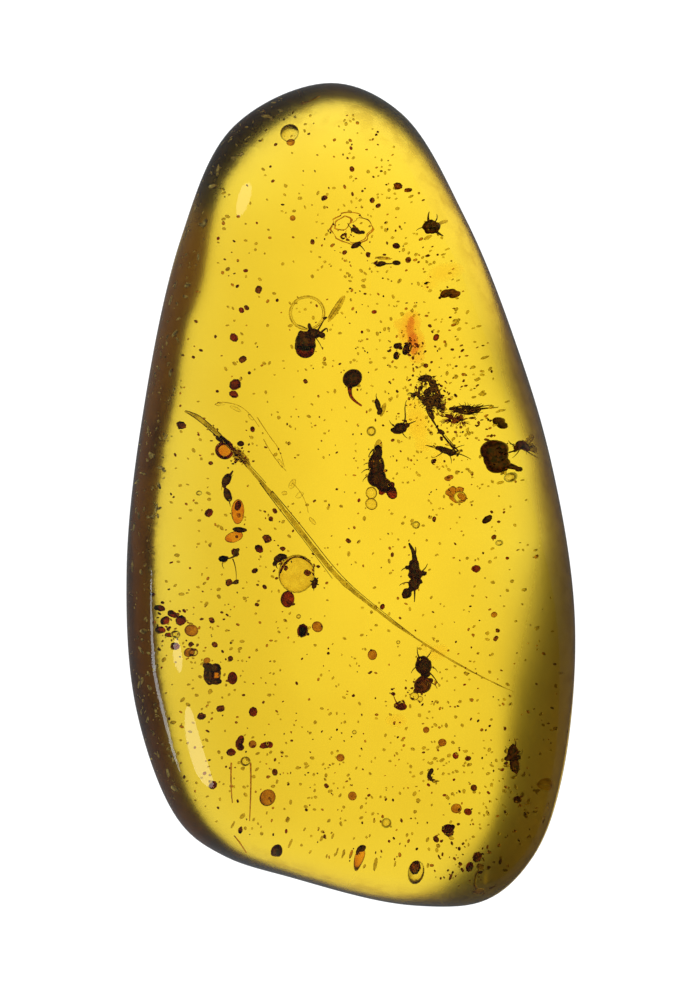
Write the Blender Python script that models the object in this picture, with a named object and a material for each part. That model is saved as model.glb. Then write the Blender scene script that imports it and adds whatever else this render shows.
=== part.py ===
"""A polished amber pebble with the insects, seeds and plant scraps that the resin caught.

The pebble lies flat on a small facet, long axis along +Y, origin under its middle.
It is parted on a level joint, and each inclusion lies in a pocket that opens on that joint.
Every length below is in millimetres; MM turns it into Blender's metres.
"""
import math

import bmesh
import bpy
from mathutils import Matrix, Vector

MM = 0.001

# ---- driving dimensions ----
THICKNESS = 9.0                 # facet to the crown of the dome
JOINT_HEIGHT = 4.35             # middle of the level joint between the halves
JOINT_GAP = 0.3
POCKET_CLEARANCE = 0.3          # room between an inclusion and its pocket
SWEEP_CENTRE = Vector((0.0, -2.0))
SECTORS = 60
DOME_RINGS = 6
UNDER_RINGS = 5
POCKET_SIDES = 8
LUMP_SEGMENTS = 7
LUMP_RINGS = 4
LIMB_SIDES = 4

# Outline seen from above, anticlockwise from the narrow end; a smooth closed curve joins the points
OUTLINE = [
    (-1.0, 21.0), (-5.9, 18.7), (-8.6, 12.9), (-10.53, 4.1), (-11.35, -4.0), (-10.8, -11.1),
    (-8.6, -16.7), (-6.4, -18.45), (-3.1, -19.55), (3.2, -21.0), (6.8, -20.5), (9.2, -18.2),
    (10.6, -14.5), (11.37, -6.6), (10.3, 1.5), (8.4, 7.9), (5.9, 14.1), (2.6, 19.5),
]

# Section values round the pebble: (direction in degrees from +X, value)
GIRDLE_HEIGHT = [
    (0, 3.8), (12, 3.0), (24, 2.3), (50, 2.6), (62, 2.5), (76, 2.1), (90, 2.6), (104, 4.2), (117, 5.0), (127, 4.3), (150, 4.1),
    (170, 4.2), (205, 4.3), (232, 4.4), (239, 4.0), (245, 2.8), (251, 2.0), (258, 1.5), (281, 1.2), (292, 6.2), (302, 6.5),
    (315, 6.2), (330, 5.6), (345, 4.8),
]
DOME_FULLNESS = [
    (0, 5), (35, 8), (70, 8), (95, 6), (130, 5), (220, 5), (245, 9), (262, 14), (280, 14), (298, 5),
    (330, 4.5),
]
UNDER_SHOULDER = [(0, 7.0), (240, 7.0), (255, 5.5), (282, 5.5), (291, 4.8), (306, 6.5), (318, 7.0)]
UNDER_ROUNDNESS = [
    (0, 1.5), (15, 1.1), (25, 1.0), (75, 1.0), (90, 1.3), (105, 1.6), (236, 1.6), (250, 1.1),
    (260, 1.0), (281, 1.0), (291, 1.4), (315, 1.4),
]
UNDER_FULLNESS = 1.8
EASING = (-4.0, -2.4, -0.8, 0.8, 2.4, 4.0)  # degrees either side that a section value is averaged over
WIDEST_SHOULDER = 0.62          # the underside slope never takes more of the radius than this

# Gas bubbles on the joint: centre x, y, and their half sizes along x, y and z
GAS_BUBBLES = [
    (-2.2, 9.15, 0.85, 0.85, 0.5), (-2.7, -3.95, 0.92, 0.82, 0.5), (-3.05, 18.2, 0.45, 0.45, 0.4),
    (3.3, -19.0, 0.35, 0.5, 0.35), (-4.2, -15.25, 0.4, 0.42, 0.4),
]

# ---- colours, linear RGB, with roughness ----
FINISHES = {
    "amber": ((0.87, 0.56, 0.05), 0.08),
    "black_chitin": ((0.012, 0.009, 0.007), 0.35),
    "brown_chitin": ((0.045, 0.018, 0.008), 0.35),
    "red_resin": ((0.10, 0.012, 0.004), 0.2),
    "orange_resin": ((0.55, 0.18, 0.02), 0.2),
    "charred_wood": ((0.04, 0.022, 0.012), 0.8),
    "plant_fibre": ((0.16, 0.14, 0.05), 0.7),
}

# ---- inclusions ----
# at: middle, in the pebble's frame
# lumps: (x, y, length, width, turn in degrees) with an optional thickness, from the middle
# limbs: (radius at the root, points); a limb thins to LIMB_TIP of its root
LIMB_TIP = 0.55
LUMP_DEPTH = 0.8                # thickness of a lump as a share of its width
INCLUSIONS = {
    "fly": dict(
        at=(-2.25, 7.5, 5.1), finish="black_chitin",
        lumps=[(0.0, 0.0, 1.3, 1.05, 80), (0.5, 0.6, 0.8, 0.5, 20), (0.84, 0.47, 0.42, 0.3, -30),
               (0.22, 0.93, 0.55, 0.2, 100), (-0.2, 0.58, 0.3, 0.22, 50), (1.42, 1.68, 1.15, 0.3, 61, 0.12)],
        limbs=[(0.1, [(0.85, 0.48, 0.0), (1.08, 0.85, 0.02), (1.0, 1.1, 0.0), (1.2, 1.3, 0.0)]),
               (0.05, [(0.45, 0.45, -0.1), (0.7, 0.1, -0.2), (0.8, -0.25, -0.25)]),
               (0.05, [(0.3, 0.7, -0.1), (-0.05, 0.95, -0.15), (-0.3, 1.05, -0.2)])]),
    "rove_beetle": dict(
        at=(1.4, 1.3, 3.75), finish="black_chitin",
        lumps=[(0.0, 0.75, 1.35, 0.6, 84), (-0.12, -0.15, 1.55, 0.86, 98), (0.6, -0.9, 1.1, 0.74, -45),
               (0.1, -0.7, 0.85, 0.8, 0)],
        limbs=[(0.06, [(-0.3, 0.1, 0.0), (-0.65, 0.2, -0.1), (-0.8, -0.05, -0.15)]),
               (0.06, [(-0.35, -0.4, 0.0), (-0.7, -0.5, -0.1), (-0.85, -0.75, -0.1)]),
               (0.06, [(0.05, 0.2, 0.0), (0.55, 0.3, -0.1), (0.7, 0.6, -0.1)])]),
    "weevil": dict(
        at=(3.15, -4.05, 4.95), finish="black_chitin",
        lumps=[(0.0, 0.4, 0.85, 0.6, 95), (0.17, 0.08, 0.72, 0.72, 10), (0.42, 0.1, 0.42, 0.26, 0),
               (0.0, -0.45, 0.65, 0.55, 80), (-0.27, -0.84, 0.64, 0.48, 60)],
        limbs=[(0.16, [(0.04, 0.7, 0.0), (0.02, 1.15, 0.0), (-0.2, 1.6, 0.0)]),
               (0.06, [(-0.1, 0.42, 0.0), (-0.42, 0.46, -0.1), (-0.6, 0.25, -0.15)]),
               (0.06, [(0.1, -0.5, 0.0), (0.16, -0.9, -0.05), (0.3, -1.2, -0.1)]),
               (0.06, [(0.2, 0.3, 0.0), (0.55, 0.48, -0.1), (0.66, 0.78, -0.15)]),
               (0.06, [(-0.05, -0.36, 0.0), (-0.48, -0.28, -0.1), (-0.7, -0.5, -0.15)])]),
    "ant": dict(
        at=(3.65, -9.05, 3.8), finish="brown_chitin",
        lumps=[(0.0, 0.48, 0.98, 0.78, 92), (0.03, 0.0, 0.4, 0.42, 0), (-0.02, -0.48, 0.9, 0.8, 60)],
        limbs=[(0.05, [(0.08, 0.0, 0.0), (0.55, -0.2, 0.0), (0.78, -0.55, -0.1)]),
               (0.05, [(0.28, 0.3, 0.0), (0.6, 0.32, 0.0), (0.74, 0.08, -0.1)]),
               (0.05, [(0.2, 0.65, 0.0), (0.48, 0.88, 0.0), (0.58, 1.15, -0.1)]),
               (0.05, [(-0.2, 0.55, 0.0), (-0.5, 0.62, 0.0), (-0.6, 0.9, -0.1)]),
               (0.05, [(-0.2, 0.15, 0.0), (-0.5, 0.0, 0.0), (-0.64, -0.22, -0.1)]),
               (0.04, [(-0.1, 0.85, 0.0), (-0.26, 1.1, 0.0), (-0.2, 1.34, 0.0)])]),
    "leaf_beetle": dict(
        at=(6.85, 1.85, 5.0), finish="brown_chitin",
        lumps=[(-0.1, 0.3, 1.0, 1.0, 0), (0.06, -0.33, 0.98, 0.9, -30)],
        limbs=[(0.18, [(0.35, -0.4, 0.0), (0.65, -0.55, 0.0), (0.95, -0.78, 0.0)]),
               (0.06, [(0.3, 0.3, 0.0), (0.66, 0.36, 0.0), (0.86, 0.36, 0.0)])]),
    "rim_midge": dict(
        at=(7.9, 2.35, 6.0), finish="black_chitin",
        lumps=[(0.0, 0.0, 0.75, 0.42, -30), (0.22, 0.3, 0.7, 0.3, 40, 0.12)],
        limbs=[(0.06, [(0.1, -0.08, 0.0), (0.4, -0.28, 0.0), (0.7, -0.32, 0.0)]),
               (0.06, [(0.0, -0.08, 0.0), (0.26, -0.48, 0.0), (0.64, -0.56, 0.0)])]),
    "ground_beetle": dict(
        at=(3.4, 13.1, 4.9), finish="black_chitin",
        lumps=[(0.0, 0.0, 0.78, 0.58, -50), (0.04, -0.12, 0.52, 0.5, 20)],
        limbs=[(0.08, [(-0.08, 0.15, 0.0), (-0.18, 0.45, 0.0), (-0.22, 0.74, 0.0)]),
               (0.06, [(0.12, 0.08, 0.0), (0.42, 0.2, 0.0), (0.5, 0.42, 0.0)]),
               (0.07, [(0.15, -0.18, 0.0), (0.42, -0.46, 0.0)])]),
    "gall_gnat": dict(
        at=(1.8, 11.55, 3.9), finish="brown_chitin",
        lumps=[(-0.35, 0.0, 0.52, 0.32, 5), (0.38, 0.0, 0.38, 0.27, -10), (-0.2, 0.24, 0.75, 0.16, -10, 0.1)],
        limbs=[(0.06, [(-0.3, 0.0, 0.0), (0.0, -0.05, 0.0), (0.36, -0.01, 0.0)]),
               (0.05, [(-0.42, 0.05, 0.0), (-0.5, 0.18, 0.0), (-0.4, 0.27, 0.0)])]),
    "amber_gnat": dict(
        at=(-6.1, 2.35, 3.5), finish="brown_chitin",
        lumps=[(-0.04, 0.32, 0.52, 0.44, -45), (0.04, -0.16, 0.8, 0.62, 88)],
        limbs=[(0.05, [(0.1, 0.3, 0.0), (0.4, 0.2, 0.0), (0.6, -0.1, -0.05)]),
               (0.05, [(0.0, -0.1, 0.0), (-0.4, -0.2, 0.0), (-0.5, -0.5, 0.0)])]),
    "thread_wasp": dict(
        at=(-6.05, 0.4, 4.85), finish="black_chitin",
        lumps=[(0.0, 0.35, 0.62, 0.38, 66), (0.04, -0.42, 0.68, 0.36, 108)],
        limbs=[(0.1, [(0.06, 0.45, 0.0), (0.18, 0.6, 0.0), (0.28, 0.76, 0.0)]),
               (0.09, [(-0.04, 0.2, 0.0), (-0.12, 0.03, 0.0), (-0.02, -0.2, 0.0)]),
               (0.05, [(0.1, -0.66, 0.0), (0.14, -0.82, 0.0), (0.16, -1.0, 0.0)])]),
    "long_midge": dict(
        at=(4.8, 2.2, 3.7), finish="black_chitin",
        lumps=[(0.02, 0.0, 1.15, 0.34, -15), (-0.42, 0.13, 0.42, 0.24, -10), (-0.3, 0.97, 0.42, 0.22, -30)],
        limbs=[(0.06, [(-0.5, 0.15, 0.0), (-0.8, 0.28, 0.0), (-1.05, 0.33, 0.0)]),
               (0.05, [(0.2, 0.0, 0.0), (0.5, 0.28, 0.0), (0.76, 0.3, 0.0)]),
               (0.05, [(0.4, -0.1, 0.0), (0.8, -0.22, 0.0), (1.05, -0.42, 0.0)]),
               (0.05, [(0.05, -0.05, 0.0), (0.26, -0.36, 0.0), (0.22, -0.62, 0.0)]),
               (0.05, [(-0.15, 0.0, 0.0), (-0.4, -0.28, 0.0), (-0.7, -0.34, 0.0)]),
               (0.07, [(0.3, 0.0, 0.0), (-0.2, 0.82, 0.0), (-0.75, 1.52, 0.0)])]),
    "winged_aphid": dict(
        at=(1.45, 4.4, 4.8), finish="brown_chitin",
        lumps=[(0.0, 0.05, 0.75, 0.38, 75), (0.1, -0.22, 0.5, 0.28, 60)], limbs=[]),
    "mite": dict(
        at=(2.5, 3.35, 4.9), finish="black_chitin",
        lumps=[(0.0, 0.0, 0.72, 0.6, 20), (-0.25, -0.12, 0.4, 0.3, 0)],
        limbs=[(0.06, [(0.1, 0.1, 0.0), (0.24, 0.6, 0.0), (0.2, 1.0, 0.0), (0.3, 1.4, 0.0)])]),
    "scale_insect": dict(
        at=(-3.5, -3.25, 4.95), finish="black_chitin",
        lumps=[(0.0, 0.0, 0.62, 0.52, 40), (-0.2, -0.12, 0.3, 0.26, 0)], limbs=[]),
    "springtail": dict(
        at=(-1.85, -4.35, 4.95), finish="black_chitin",
        lumps=[(0.0, 0.0, 0.46, 0.42, 0), (0.04, -0.14, 0.3, 0.3, 45)],
        limbs=[(0.05, [(0.05, 0.05, 0.0), (0.22, 0.22, 0.0)]), (0.05, [(-0.05, 0.05, 0.0), (-0.24, 0.2, 0.0)])]),
    "larva": dict(
        at=(7.8, -13.25, 3.8), finish="black_chitin",
        lumps=[(0.0, 0.35, 0.75, 0.42, 80), (0.05, -0.2, 0.9, 0.48, 98)], limbs=[]),
    "wing_membrane": dict(
        at=(-0.15, 13.25, 3.9), finish="plant_fibre",
        lumps=[(0.0, 0.0, 1.2, 1.1, 30, 0.16), (0.42, -0.3, 0.56, 0.36, -30, 0.3)], limbs=[]),
    "moult_skin": dict(
        at=(-5.8, -3.0, 4.8), finish="brown_chitin",
        lumps=[(0.18, 0.1, 0.5, 0.26, 70), (-0.4, -0.2, 0.44, 0.3, 10)],
        limbs=[(0.08, [(0.15, 0.0, 0.0), (-0.05, -0.22, 0.0), (-0.4, -0.2, 0.0)])]),
    "tailed_bead": dict(
        at=(0.1, 5.85, 4.95), finish="black_chitin",
        lumps=[(0.0, 0.0, 1.04, 0.9, 35)],
        limbs=[(0.15, [(-0.1, -0.25, 0.0), (-0.12, -0.6, 0.0), (-0.02, -0.95, 0.0), (0.42, -1.3, 0.0)])]),
    "wood_splinter": dict(
        at=(3.95, 4.75, 5.2), finish="charred_wood",
        lumps=[(-0.25, 1.02, 0.8, 0.5, 5), (0.2, 0.5, 1.15, 0.34, -68), (0.0, -0.08, 1.0, 0.6, -10),
               (-0.85, 0.28, 0.42, 0.3, 20), (0.03, -0.64, 0.95, 0.36, -68), (0.5, -0.35, 0.7, 0.42, -30)],
        limbs=[(0.13, [(-0.8, 0.28, 0.0), (-0.45, 0.12, 0.0), (-0.1, 0.0, 0.0)])]),
    "bark_shred": dict(
        at=(5.55, 4.2, 3.8), finish="charred_wood",
        lumps=[(0.0, 0.0, 0.9, 0.42, -10)],
        limbs=[(0.07, [(0.3, -0.03, 0.0), (0.65, 0.0, 0.0), (1.0, -0.06, 0.0)]),
               (0.07, [(-0.1, -0.05, 0.0), (-0.22, -0.35, 0.0), (-0.34, -0.65, 0.0)])]),
    "resin_stain": dict(
        at=(3.0, 8.0, 5.3), finish="orange_resin", lumps=[(0.0, 0.0, 1.9, 0.85, 80, 0.12)], limbs=[]),
    "black_seed": dict(
        at=(2.8, 7.3, 3.7), finish="black_chitin", lumps=[(0.0, 0.0, 0.6, 0.5, 30)], limbs=[]),
    "bean_seed": dict(
        at=(4.5, 9.85, 4.85), finish="brown_chitin", lumps=[(0.0, 0.0, 0.7, 0.44, -12)], limbs=[]),
    "frass_cluster": dict(
        at=(5.1, 0.1, 3.8), finish="charred_wood",
        lumps=[(0.0, 0.0, 0.8, 0.6, 20), (0.26, 0.18, 0.42, 0.38, 0), (-0.2, 0.3, 0.44, 0.34, 60)],
        limbs=[]),
    "angular_seed": dict(
        at=(6.6, -1.2, 4.85), finish="black_chitin", lumps=[(0.0, 0.0, 0.5, 0.42, 45)], limbs=[]),
    "dark_seed": dict(
        at=(6.7, 3.4, 3.8), finish="brown_chitin", lumps=[(0.0, 0.0, 0.6, 0.3, -65)], limbs=[]),
    "cherry_seed": dict(
        at=(2.5, -10.6, 4.85), finish="red_resin",
        lumps=[(0.0, 0.0, 0.68, 0.42, -10)], limbs=[(0.05, [(-0.1, 0.08, 0.0), (-0.35, 0.65, 0.0)])]),
    "bract_curl": dict(
        at=(4.05, -14.05, 3.9), finish="brown_chitin",
        lumps=[(-0.02, 0.14, 0.5, 0.34, 70), (-0.02, -0.16, 0.5, 0.32, 110)], limbs=[]),
    "low_seed": dict(
        at=(4.8, -16.6, 4.85), finish="brown_chitin", lumps=[(0.0, 0.0, 0.62, 0.46, 15)], limbs=[]),
    "capped_bead": dict(
        at=(0.65, -17.4, 3.8), finish="orange_resin",
        lumps=[(0.0, -0.04, 0.52, 0.44, 0), (0.0, 0.14, 0.46, 0.24, 0)], limbs=[]),
    "burnt_seed": dict(
        at=(-3.35, -16.95, 4.85), finish="black_chitin", lumps=[(0.0, 0.0, 0.62, 0.48, -10)], limbs=[]),
    "bark_crumb": dict(
        at=(-5.45, -12.35, 4.85), finish="charred_wood", lumps=[(0.0, 0.0, 0.66, 0.44, 70)], limbs=[]),
    "leaf_crumb": dict(
        at=(-4.2, -12.55, 3.8), finish="charred_wood", lumps=[(0.0, 0.0, 0.68, 0.4, 15)], limbs=[]),
    "rim_crumbs": dict(
        at=(-8.55, -6.3, 4.85), finish="charred_wood",
        lumps=[(-0.35, 0.62, 0.7, 0.36, -20), (0.15, 0.3, 0.6, 0.4, -40), (-0.14, 0.06, 0.62, 0.45, 60),
               (-0.33, -0.46, 0.5, 0.44, 0), (-0.22, -0.2, 0.6, 0.34, 100)], limbs=[]),
    "scale_flake": dict(
        at=(-2.35, -6.8, 3.85), finish="black_chitin", lumps=[(0.0, 0.0, 0.62, 0.46, 25)], limbs=[]),
    "cherry_bead": dict(
        at=(-3.15, -5.25, 3.75), finish="red_resin", lumps=[(0.0, 0.0, 0.86, 0.7, 85)], limbs=[]),
    "small_cherry_bead": dict(
        at=(-5.8, -9.2, 4.85), finish="red_resin", lumps=[(0.0, 0.0, 0.65, 0.45, 88)], limbs=[]),
    "pill_beetle": dict(
        at=(-6.65, -9.05, 4.9), finish="black_chitin",
        lumps=[(-0.08, 0.05, 1.1, 0.62, 92), (0.1, 0.2, 0.62, 0.56, 0), (0.1, -0.22, 0.5, 0.4, 0),
               (-0.3, 0.5, 0.3, 0.26, 60)], limbs=[]),
    "resin_drop": dict(
        at=(-5.55, -0.85, 5.0), finish="orange_resin",
        lumps=[(0.0, 0.24, 0.6, 0.34, 80), (0.0, -0.12, 0.85, 0.6, 85)], limbs=[]),
    "capped_drop": dict(
        at=(-5.6, -2.0, 3.8), finish="orange_resin",
        lumps=[(-0.12, -0.12, 0.88, 0.54, 20), (0.14, 0.22, 0.68, 0.28, -5)], limbs=[]),
}

# Plant fibre that crosses the pebble in the joint: x, y along its length, with its radius
FIBRE_RADIUS = 0.1
FIBRE_PATH = [
    (-7.65, 4.1), (-7.25, 3.95), (-6.85, 3.55), (-6.3, 3.0), (-5.3, 1.7), (-4.3, 0.5),
    (-2.45, -1.85), (-0.75, -4.15), (1.0, -5.55), (3.25, -7.25), (6.15, -9.0), (7.9, -9.9),
]


def clear_scene():
    for old in list(bpy.data.objects):
        bpy.data.objects.remove(old, do_unlink=True)


def make_material(name):
    colour, roughness = FINISHES[name]
    material = bpy.data.materials.new(name)
    material.use_nodes = True
    shader = material.node_tree.nodes["Principled BSDF"]
    shader.inputs["Base Color"].default_value = (*colour, 1.0)
    shader.inputs["Roughness"].default_value = roughness
    shader.inputs["Metallic"].default_value = 0.0
    return material


def add_object(name, mesh):
    made = bpy.data.objects.new(name, mesh)
    bpy.context.scene.collection.objects.link(made)
    return made


def object_from(name, work):
    """Turn a bmesh into a mesh object with its faces outwards."""
    bmesh.ops.recalc_face_normals(work, faces=work.faces)
    mesh = bpy.data.meshes.new(name)
    work.to_mesh(mesh)
    work.free()
    return add_object(name, mesh)


# ---- the pebble's surface ----

def smooth_closed_curve(points, steps=24):
    """Centripetal Catmull-Rom curve through a closed ring of points."""
    count = len(points)
    curve = []
    for start in range(count):
        p = [Vector(points[(start + k - 1) % count]) for k in range(4)]
        t = [0.0]
        for k in range(3):
            t.append(t[k] + math.sqrt((p[k + 1] - p[k]).length))
        for step in range(steps):
            at = t[1] + (t[2] - t[1]) * step / steps
            level = [mix_at(p[k], p[k + 1], t[k], t[k + 1], at) for k in range(3)]
            level = [mix_at(level[k], level[k + 1], t[k], t[k + 2], at) for k in range(2)]
            curve.append(mix_at(level[0], level[1], t[1], t[2], at))
    return curve


def mix_at(first, last, t_first, t_last, t):
    share = (t - t_first) / (t_last - t_first)
    return first.lerp(last, share)


def centred_outline():
    """The outline's curve, moved so that its box is centred on the origin."""
    curve = smooth_closed_curve(OUTLINE)
    xs = [p.x for p in curve]
    ys = [p.y for p in curve]
    middle = Vector(((min(xs) + max(xs)) / 2, (min(ys) + max(ys)) / 2))
    return [p - middle for p in curve]


def even_stations(curve, count):
    """Points spaced evenly by length round the closed curve."""
    closed = curve + curve[:1]
    reached = [0.0]
    for here, there in zip(closed, closed[1:]):
        reached.append(reached[-1] + (there - here).length)
    stations = []
    piece = 0
    for station in range(count):
        wanted = reached[-1] * station / count
        while reached[piece + 1] < wanted:
            piece += 1
        share = (wanted - reached[piece]) / (reached[piece + 1] - reached[piece])
        stations.append(closed[piece].lerp(closed[piece + 1], share))
    return stations


def straight_value(table, degrees):
    """The table's value at a direction, along straight lines between its entries."""
    degrees %= 360.0
    for (low, low_value), (high, high_value) in zip(table, table[1:] + [(360, table[0][1])]):
        if low <= degrees < high:
            return low_value + (high_value - low_value) * (degrees - low) / (high - low)
    return table[0][1]


def section_value(table, degrees):
    """The table's value, eased over its corners by averaging a few degrees either side."""
    return sum(straight_value(table, degrees + step) for step in EASING) / len(EASING)


def section_points(radius, degrees):
    """(distance out, height) from the facet's edge, round the girdle, to just below the crown."""
    girdle = section_value(GIRDLE_HEIGHT, degrees)
    fullness = section_value(DOME_FULLNESS, degrees)
    roundness = section_value(UNDER_ROUNDNESS, degrees)
    shoulder = min(section_value(UNDER_SHOULDER, degrees), WIDEST_SHOULDER * radius)
    points = []
    for ring in range(UNDER_RINGS + 1):
        turn = ring / UNDER_RINGS * math.pi / 2
        out = radius - shoulder + shoulder * math.sin(turn) ** (2 / UNDER_FULLNESS)
        up = girdle * (1 - max(math.cos(turn), 0.0) ** (2 / roundness))
        points.append((out, up))
    for ring in range(1, DOME_RINGS):
        turn = ring / DOME_RINGS * math.pi / 2
        out = radius * math.cos(turn) ** (2 / fullness)
        up = girdle + (THICKNESS - girdle) * math.sin(turn)
        points.append((out, up))
    return points


def pebble_bmesh():
    """The whole pebble as one closed skin, swept round from its sections."""
    work = bmesh.new()
    rings = []
    for station in even_stations(centred_outline(), SECTORS):
        arm = station - SWEEP_CENTRE
        section = section_points(arm.length, math.degrees(math.atan2(arm.y, arm.x)))
        column = []
        for out, up in section:
            place = SWEEP_CENTRE + arm.normalized() * out
            column.append(work.verts.new((place.x * MM, place.y * MM, up * MM)))
        rings.append(column)
    crown = work.verts.new((SWEEP_CENTRE.x * MM, SWEEP_CENTRE.y * MM, THICKNESS * MM))
    for here, there in zip(rings, rings[1:] + rings[:1]):
        for low in range(len(here) - 1):
            work.faces.new((here[low], there[low], there[low + 1], here[low + 1]))
        work.faces.new((here[-1], there[-1], crown))
    work.faces.new([column[0] for column in rings])
    return work


def amber_half(name, upper):
    """One half of the pebble, cut level at its side of the joint."""
    work = pebble_bmesh()
    height = JOINT_HEIGHT + (JOINT_GAP / 2 if upper else -JOINT_GAP / 2)
    everything = work.verts[:] + work.edges[:] + work.faces[:]
    cut = bmesh.ops.bisect_plane(
        work, geom=everything, plane_co=(0, 0, height * MM), plane_no=(0, 0, 1),
        clear_inner=upper, clear_outer=not upper)
    rim = [part for part in cut["geom_cut"] if isinstance(part, bmesh.types.BMEdge)]
    bmesh.ops.edgeloop_fill(work, edges=rim)
    half = object_from(name, work)
    half.data.materials.append(make_material("amber"))
    return half


# ---- inclusions ----

def lump(middle, x, y, length, width, turn, thickness=None):
    """An ellipsoid lying in the level plane."""
    depth = thickness if thickness else width * LUMP_DEPTH
    place = Matrix.Translation(Vector((middle.x + x, middle.y + y, middle.z)) * MM)
    size = Matrix.Diagonal((length * MM, width * MM, depth * MM, 1.0))
    work = bmesh.new()
    bmesh.ops.create_uvsphere(
        work, u_segments=LUMP_SEGMENTS, v_segments=LUMP_RINGS, radius=0.5,
        matrix=place @ Matrix.Rotation(math.radians(turn), 4, "Z") @ size)
    return object_from("lump", work)


def limb(middle, radius, points, tip=LIMB_TIP):
    """A tapered tube through the points, with flat ends."""
    path = [Vector((middle.x + x, middle.y + y, middle.z + z)) * MM for x, y, z in points]
    work = bmesh.new()
    rings = []
    for index, at in enumerate(path):
        before = path[max(index - 1, 0)]
        after = path[min(index + 1, len(path) - 1)]
        frame = (after - before).to_track_quat("Z", "X")
        thick = radius * MM * (1 + (tip - 1) * index / (len(path) - 1))
        ring = []
        for side in range(LIMB_SIDES):
            turn = 2 * math.pi * (side + 0.35) / LIMB_SIDES
            offset = frame @ Vector((math.cos(turn) * thick, math.sin(turn) * thick, 0.0))
            ring.append(work.verts.new(at + offset))
        rings.append(ring)
    for low, high in zip(rings, rings[1:]):
        for side in range(LIMB_SIDES):
            other = (side + 1) % LIMB_SIDES
            work.faces.new((low[side], low[other], high[other], high[side]))
    work.faces.new(rings[0])
    work.faces.new(rings[-1])
    return object_from("limb", work)


def fuse(name, pieces):
    """Union the pieces into one closed body under a new name."""
    body = pieces[0]
    for piece in pieces[1:]:
        join = body.modifiers.new("join", "BOOLEAN")
        join.operation = "UNION"
        join.solver = "EXACT"
        join.object = piece
    graph = bpy.context.evaluated_depsgraph_get()
    mesh = bpy.data.meshes.new_from_object(body.evaluated_get(graph))
    mesh.name = name
    for piece in pieces:
        bpy.data.objects.remove(piece, do_unlink=True)
    mesh.materials.clear()
    return add_object(name, mesh)


def build_inclusion(name, spec):
    middle = Vector(spec["at"])
    pieces = [lump(middle, *values) for values in spec["lumps"]]
    pieces += [limb(middle, radius, points) for radius, points in spec["limbs"]]
    made = fuse(name, pieces)
    made.data.materials.append(make_material(spec["finish"]))
    return made


def build_fibre():
    points = [(x, y, JOINT_HEIGHT) for x, y in FIBRE_PATH]
    fibre = limb(Vector((0, 0, 0)), FIBRE_RADIUS, points, tip=0.7)
    fibre.name = "plant_fibre"
    fibre.data.materials.append(make_material("plant_fibre"))
    return fibre


# ---- pockets ----

def hide_cutter(cutter, pockets):
    bpy.context.scene.collection.objects.unlink(cutter)
    pockets.objects.link(cutter)
    cutter.hide_render = True
    cutter.display_type = "WIRE"


def pocket_round(points, pockets):
    """A many-sided well round some points, open on the joint and closed beyond them."""
    room = POCKET_CLEARANCE * MM
    joint = JOINT_HEIGHT * MM
    half_gap = JOINT_GAP / 2 * MM
    bottom = min(p.z for p in points) - room
    top = max(p.z for p in points) + room
    low = joint if bottom >= joint - half_gap else min(bottom, joint)
    high = joint if top <= joint + half_gap else max(top, joint)
    reach = []
    for side in range(POCKET_SIDES):
        turn = 2 * math.pi * side / POCKET_SIDES
        facing = Vector((math.cos(turn), math.sin(turn), 0.0))
        reach.append((facing, max(p.dot(facing) for p in points) + room))
    work = bmesh.new()
    floor_ring, roof_ring = [], []
    for (facing, out), (next_facing, next_out) in zip(reach, reach[1:] + reach[:1]):
        spread = facing.x * next_facing.y - facing.y * next_facing.x
        x = (out * next_facing.y - next_out * facing.y) / spread
        y = (next_out * facing.x - out * next_facing.x) / spread
        floor_ring.append(work.verts.new((x, y, low)))
        roof_ring.append(work.verts.new((x, y, high)))
    bmesh.ops.remove_doubles(work, verts=work.verts, dist=0.02 * MM)
    floor_ring = [v for v in floor_ring if v.is_valid]
    roof_ring = [v for v in roof_ring if v.is_valid]
    for side in range(len(floor_ring)):
        other = (side + 1) % len(floor_ring)
        work.faces.new((floor_ring[side], floor_ring[other], roof_ring[other], roof_ring[side]))
    work.faces.new(floor_ring)
    work.faces.new(roof_ring)
    hide_cutter(object_from("pocket", work), pockets)


def pocket_for(inclusion, pockets):
    pocket_round([v.co for v in inclusion.data.vertices], pockets)


def pocket_for_fibre(fibre, pockets):
    """One short well for each straight run of the fibre."""
    corners = [v.co for v in fibre.data.vertices]
    for start in range(0, len(corners) - LIMB_SIDES, LIMB_SIDES):
        pocket_round(corners[start:start + 2 * LIMB_SIDES], pockets)


def gas_bubble(x, y, half_x, half_y, half_z, pockets):
    work = bmesh.new()
    place = Matrix.Translation(Vector((x, y, JOINT_HEIGHT)) * MM)
    size = Matrix.Diagonal((2 * half_x * MM, 2 * half_y * MM, 2 * half_z * MM, 1.0))
    bmesh.ops.create_uvsphere(
        work, u_segments=POCKET_SIDES, v_segments=LUMP_RINGS + 1, radius=0.5, matrix=place @ size)
    hide_cutter(object_from("gas_bubble", work), pockets)


def hollow_out(half, pockets):
    cut = half.modifiers.new("pockets", "BOOLEAN")
    cut.operation = "DIFFERENCE"
    cut.solver = "EXACT"
    cut.operand_type = "COLLECTION"
    cut.collection = pockets


def main():
    clear_scene()
    pockets = bpy.data.collections.new("pockets")
    bpy.context.scene.collection.children.link(pockets)
    for name, spec in INCLUSIONS.items():
        pocket_for(build_inclusion(name, spec), pockets)
    pocket_for_fibre(build_fibre(), pockets)
    for bubble in GAS_BUBBLES:
        gas_bubble(*bubble, pockets)
    for name, upper in (("amber_upper", True), ("amber_lower", False)):
        hollow_out(amber_half(name, upper), pockets)


main()
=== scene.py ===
import math
import random

import bpy
from mathutils import Matrix, Vector


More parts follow.
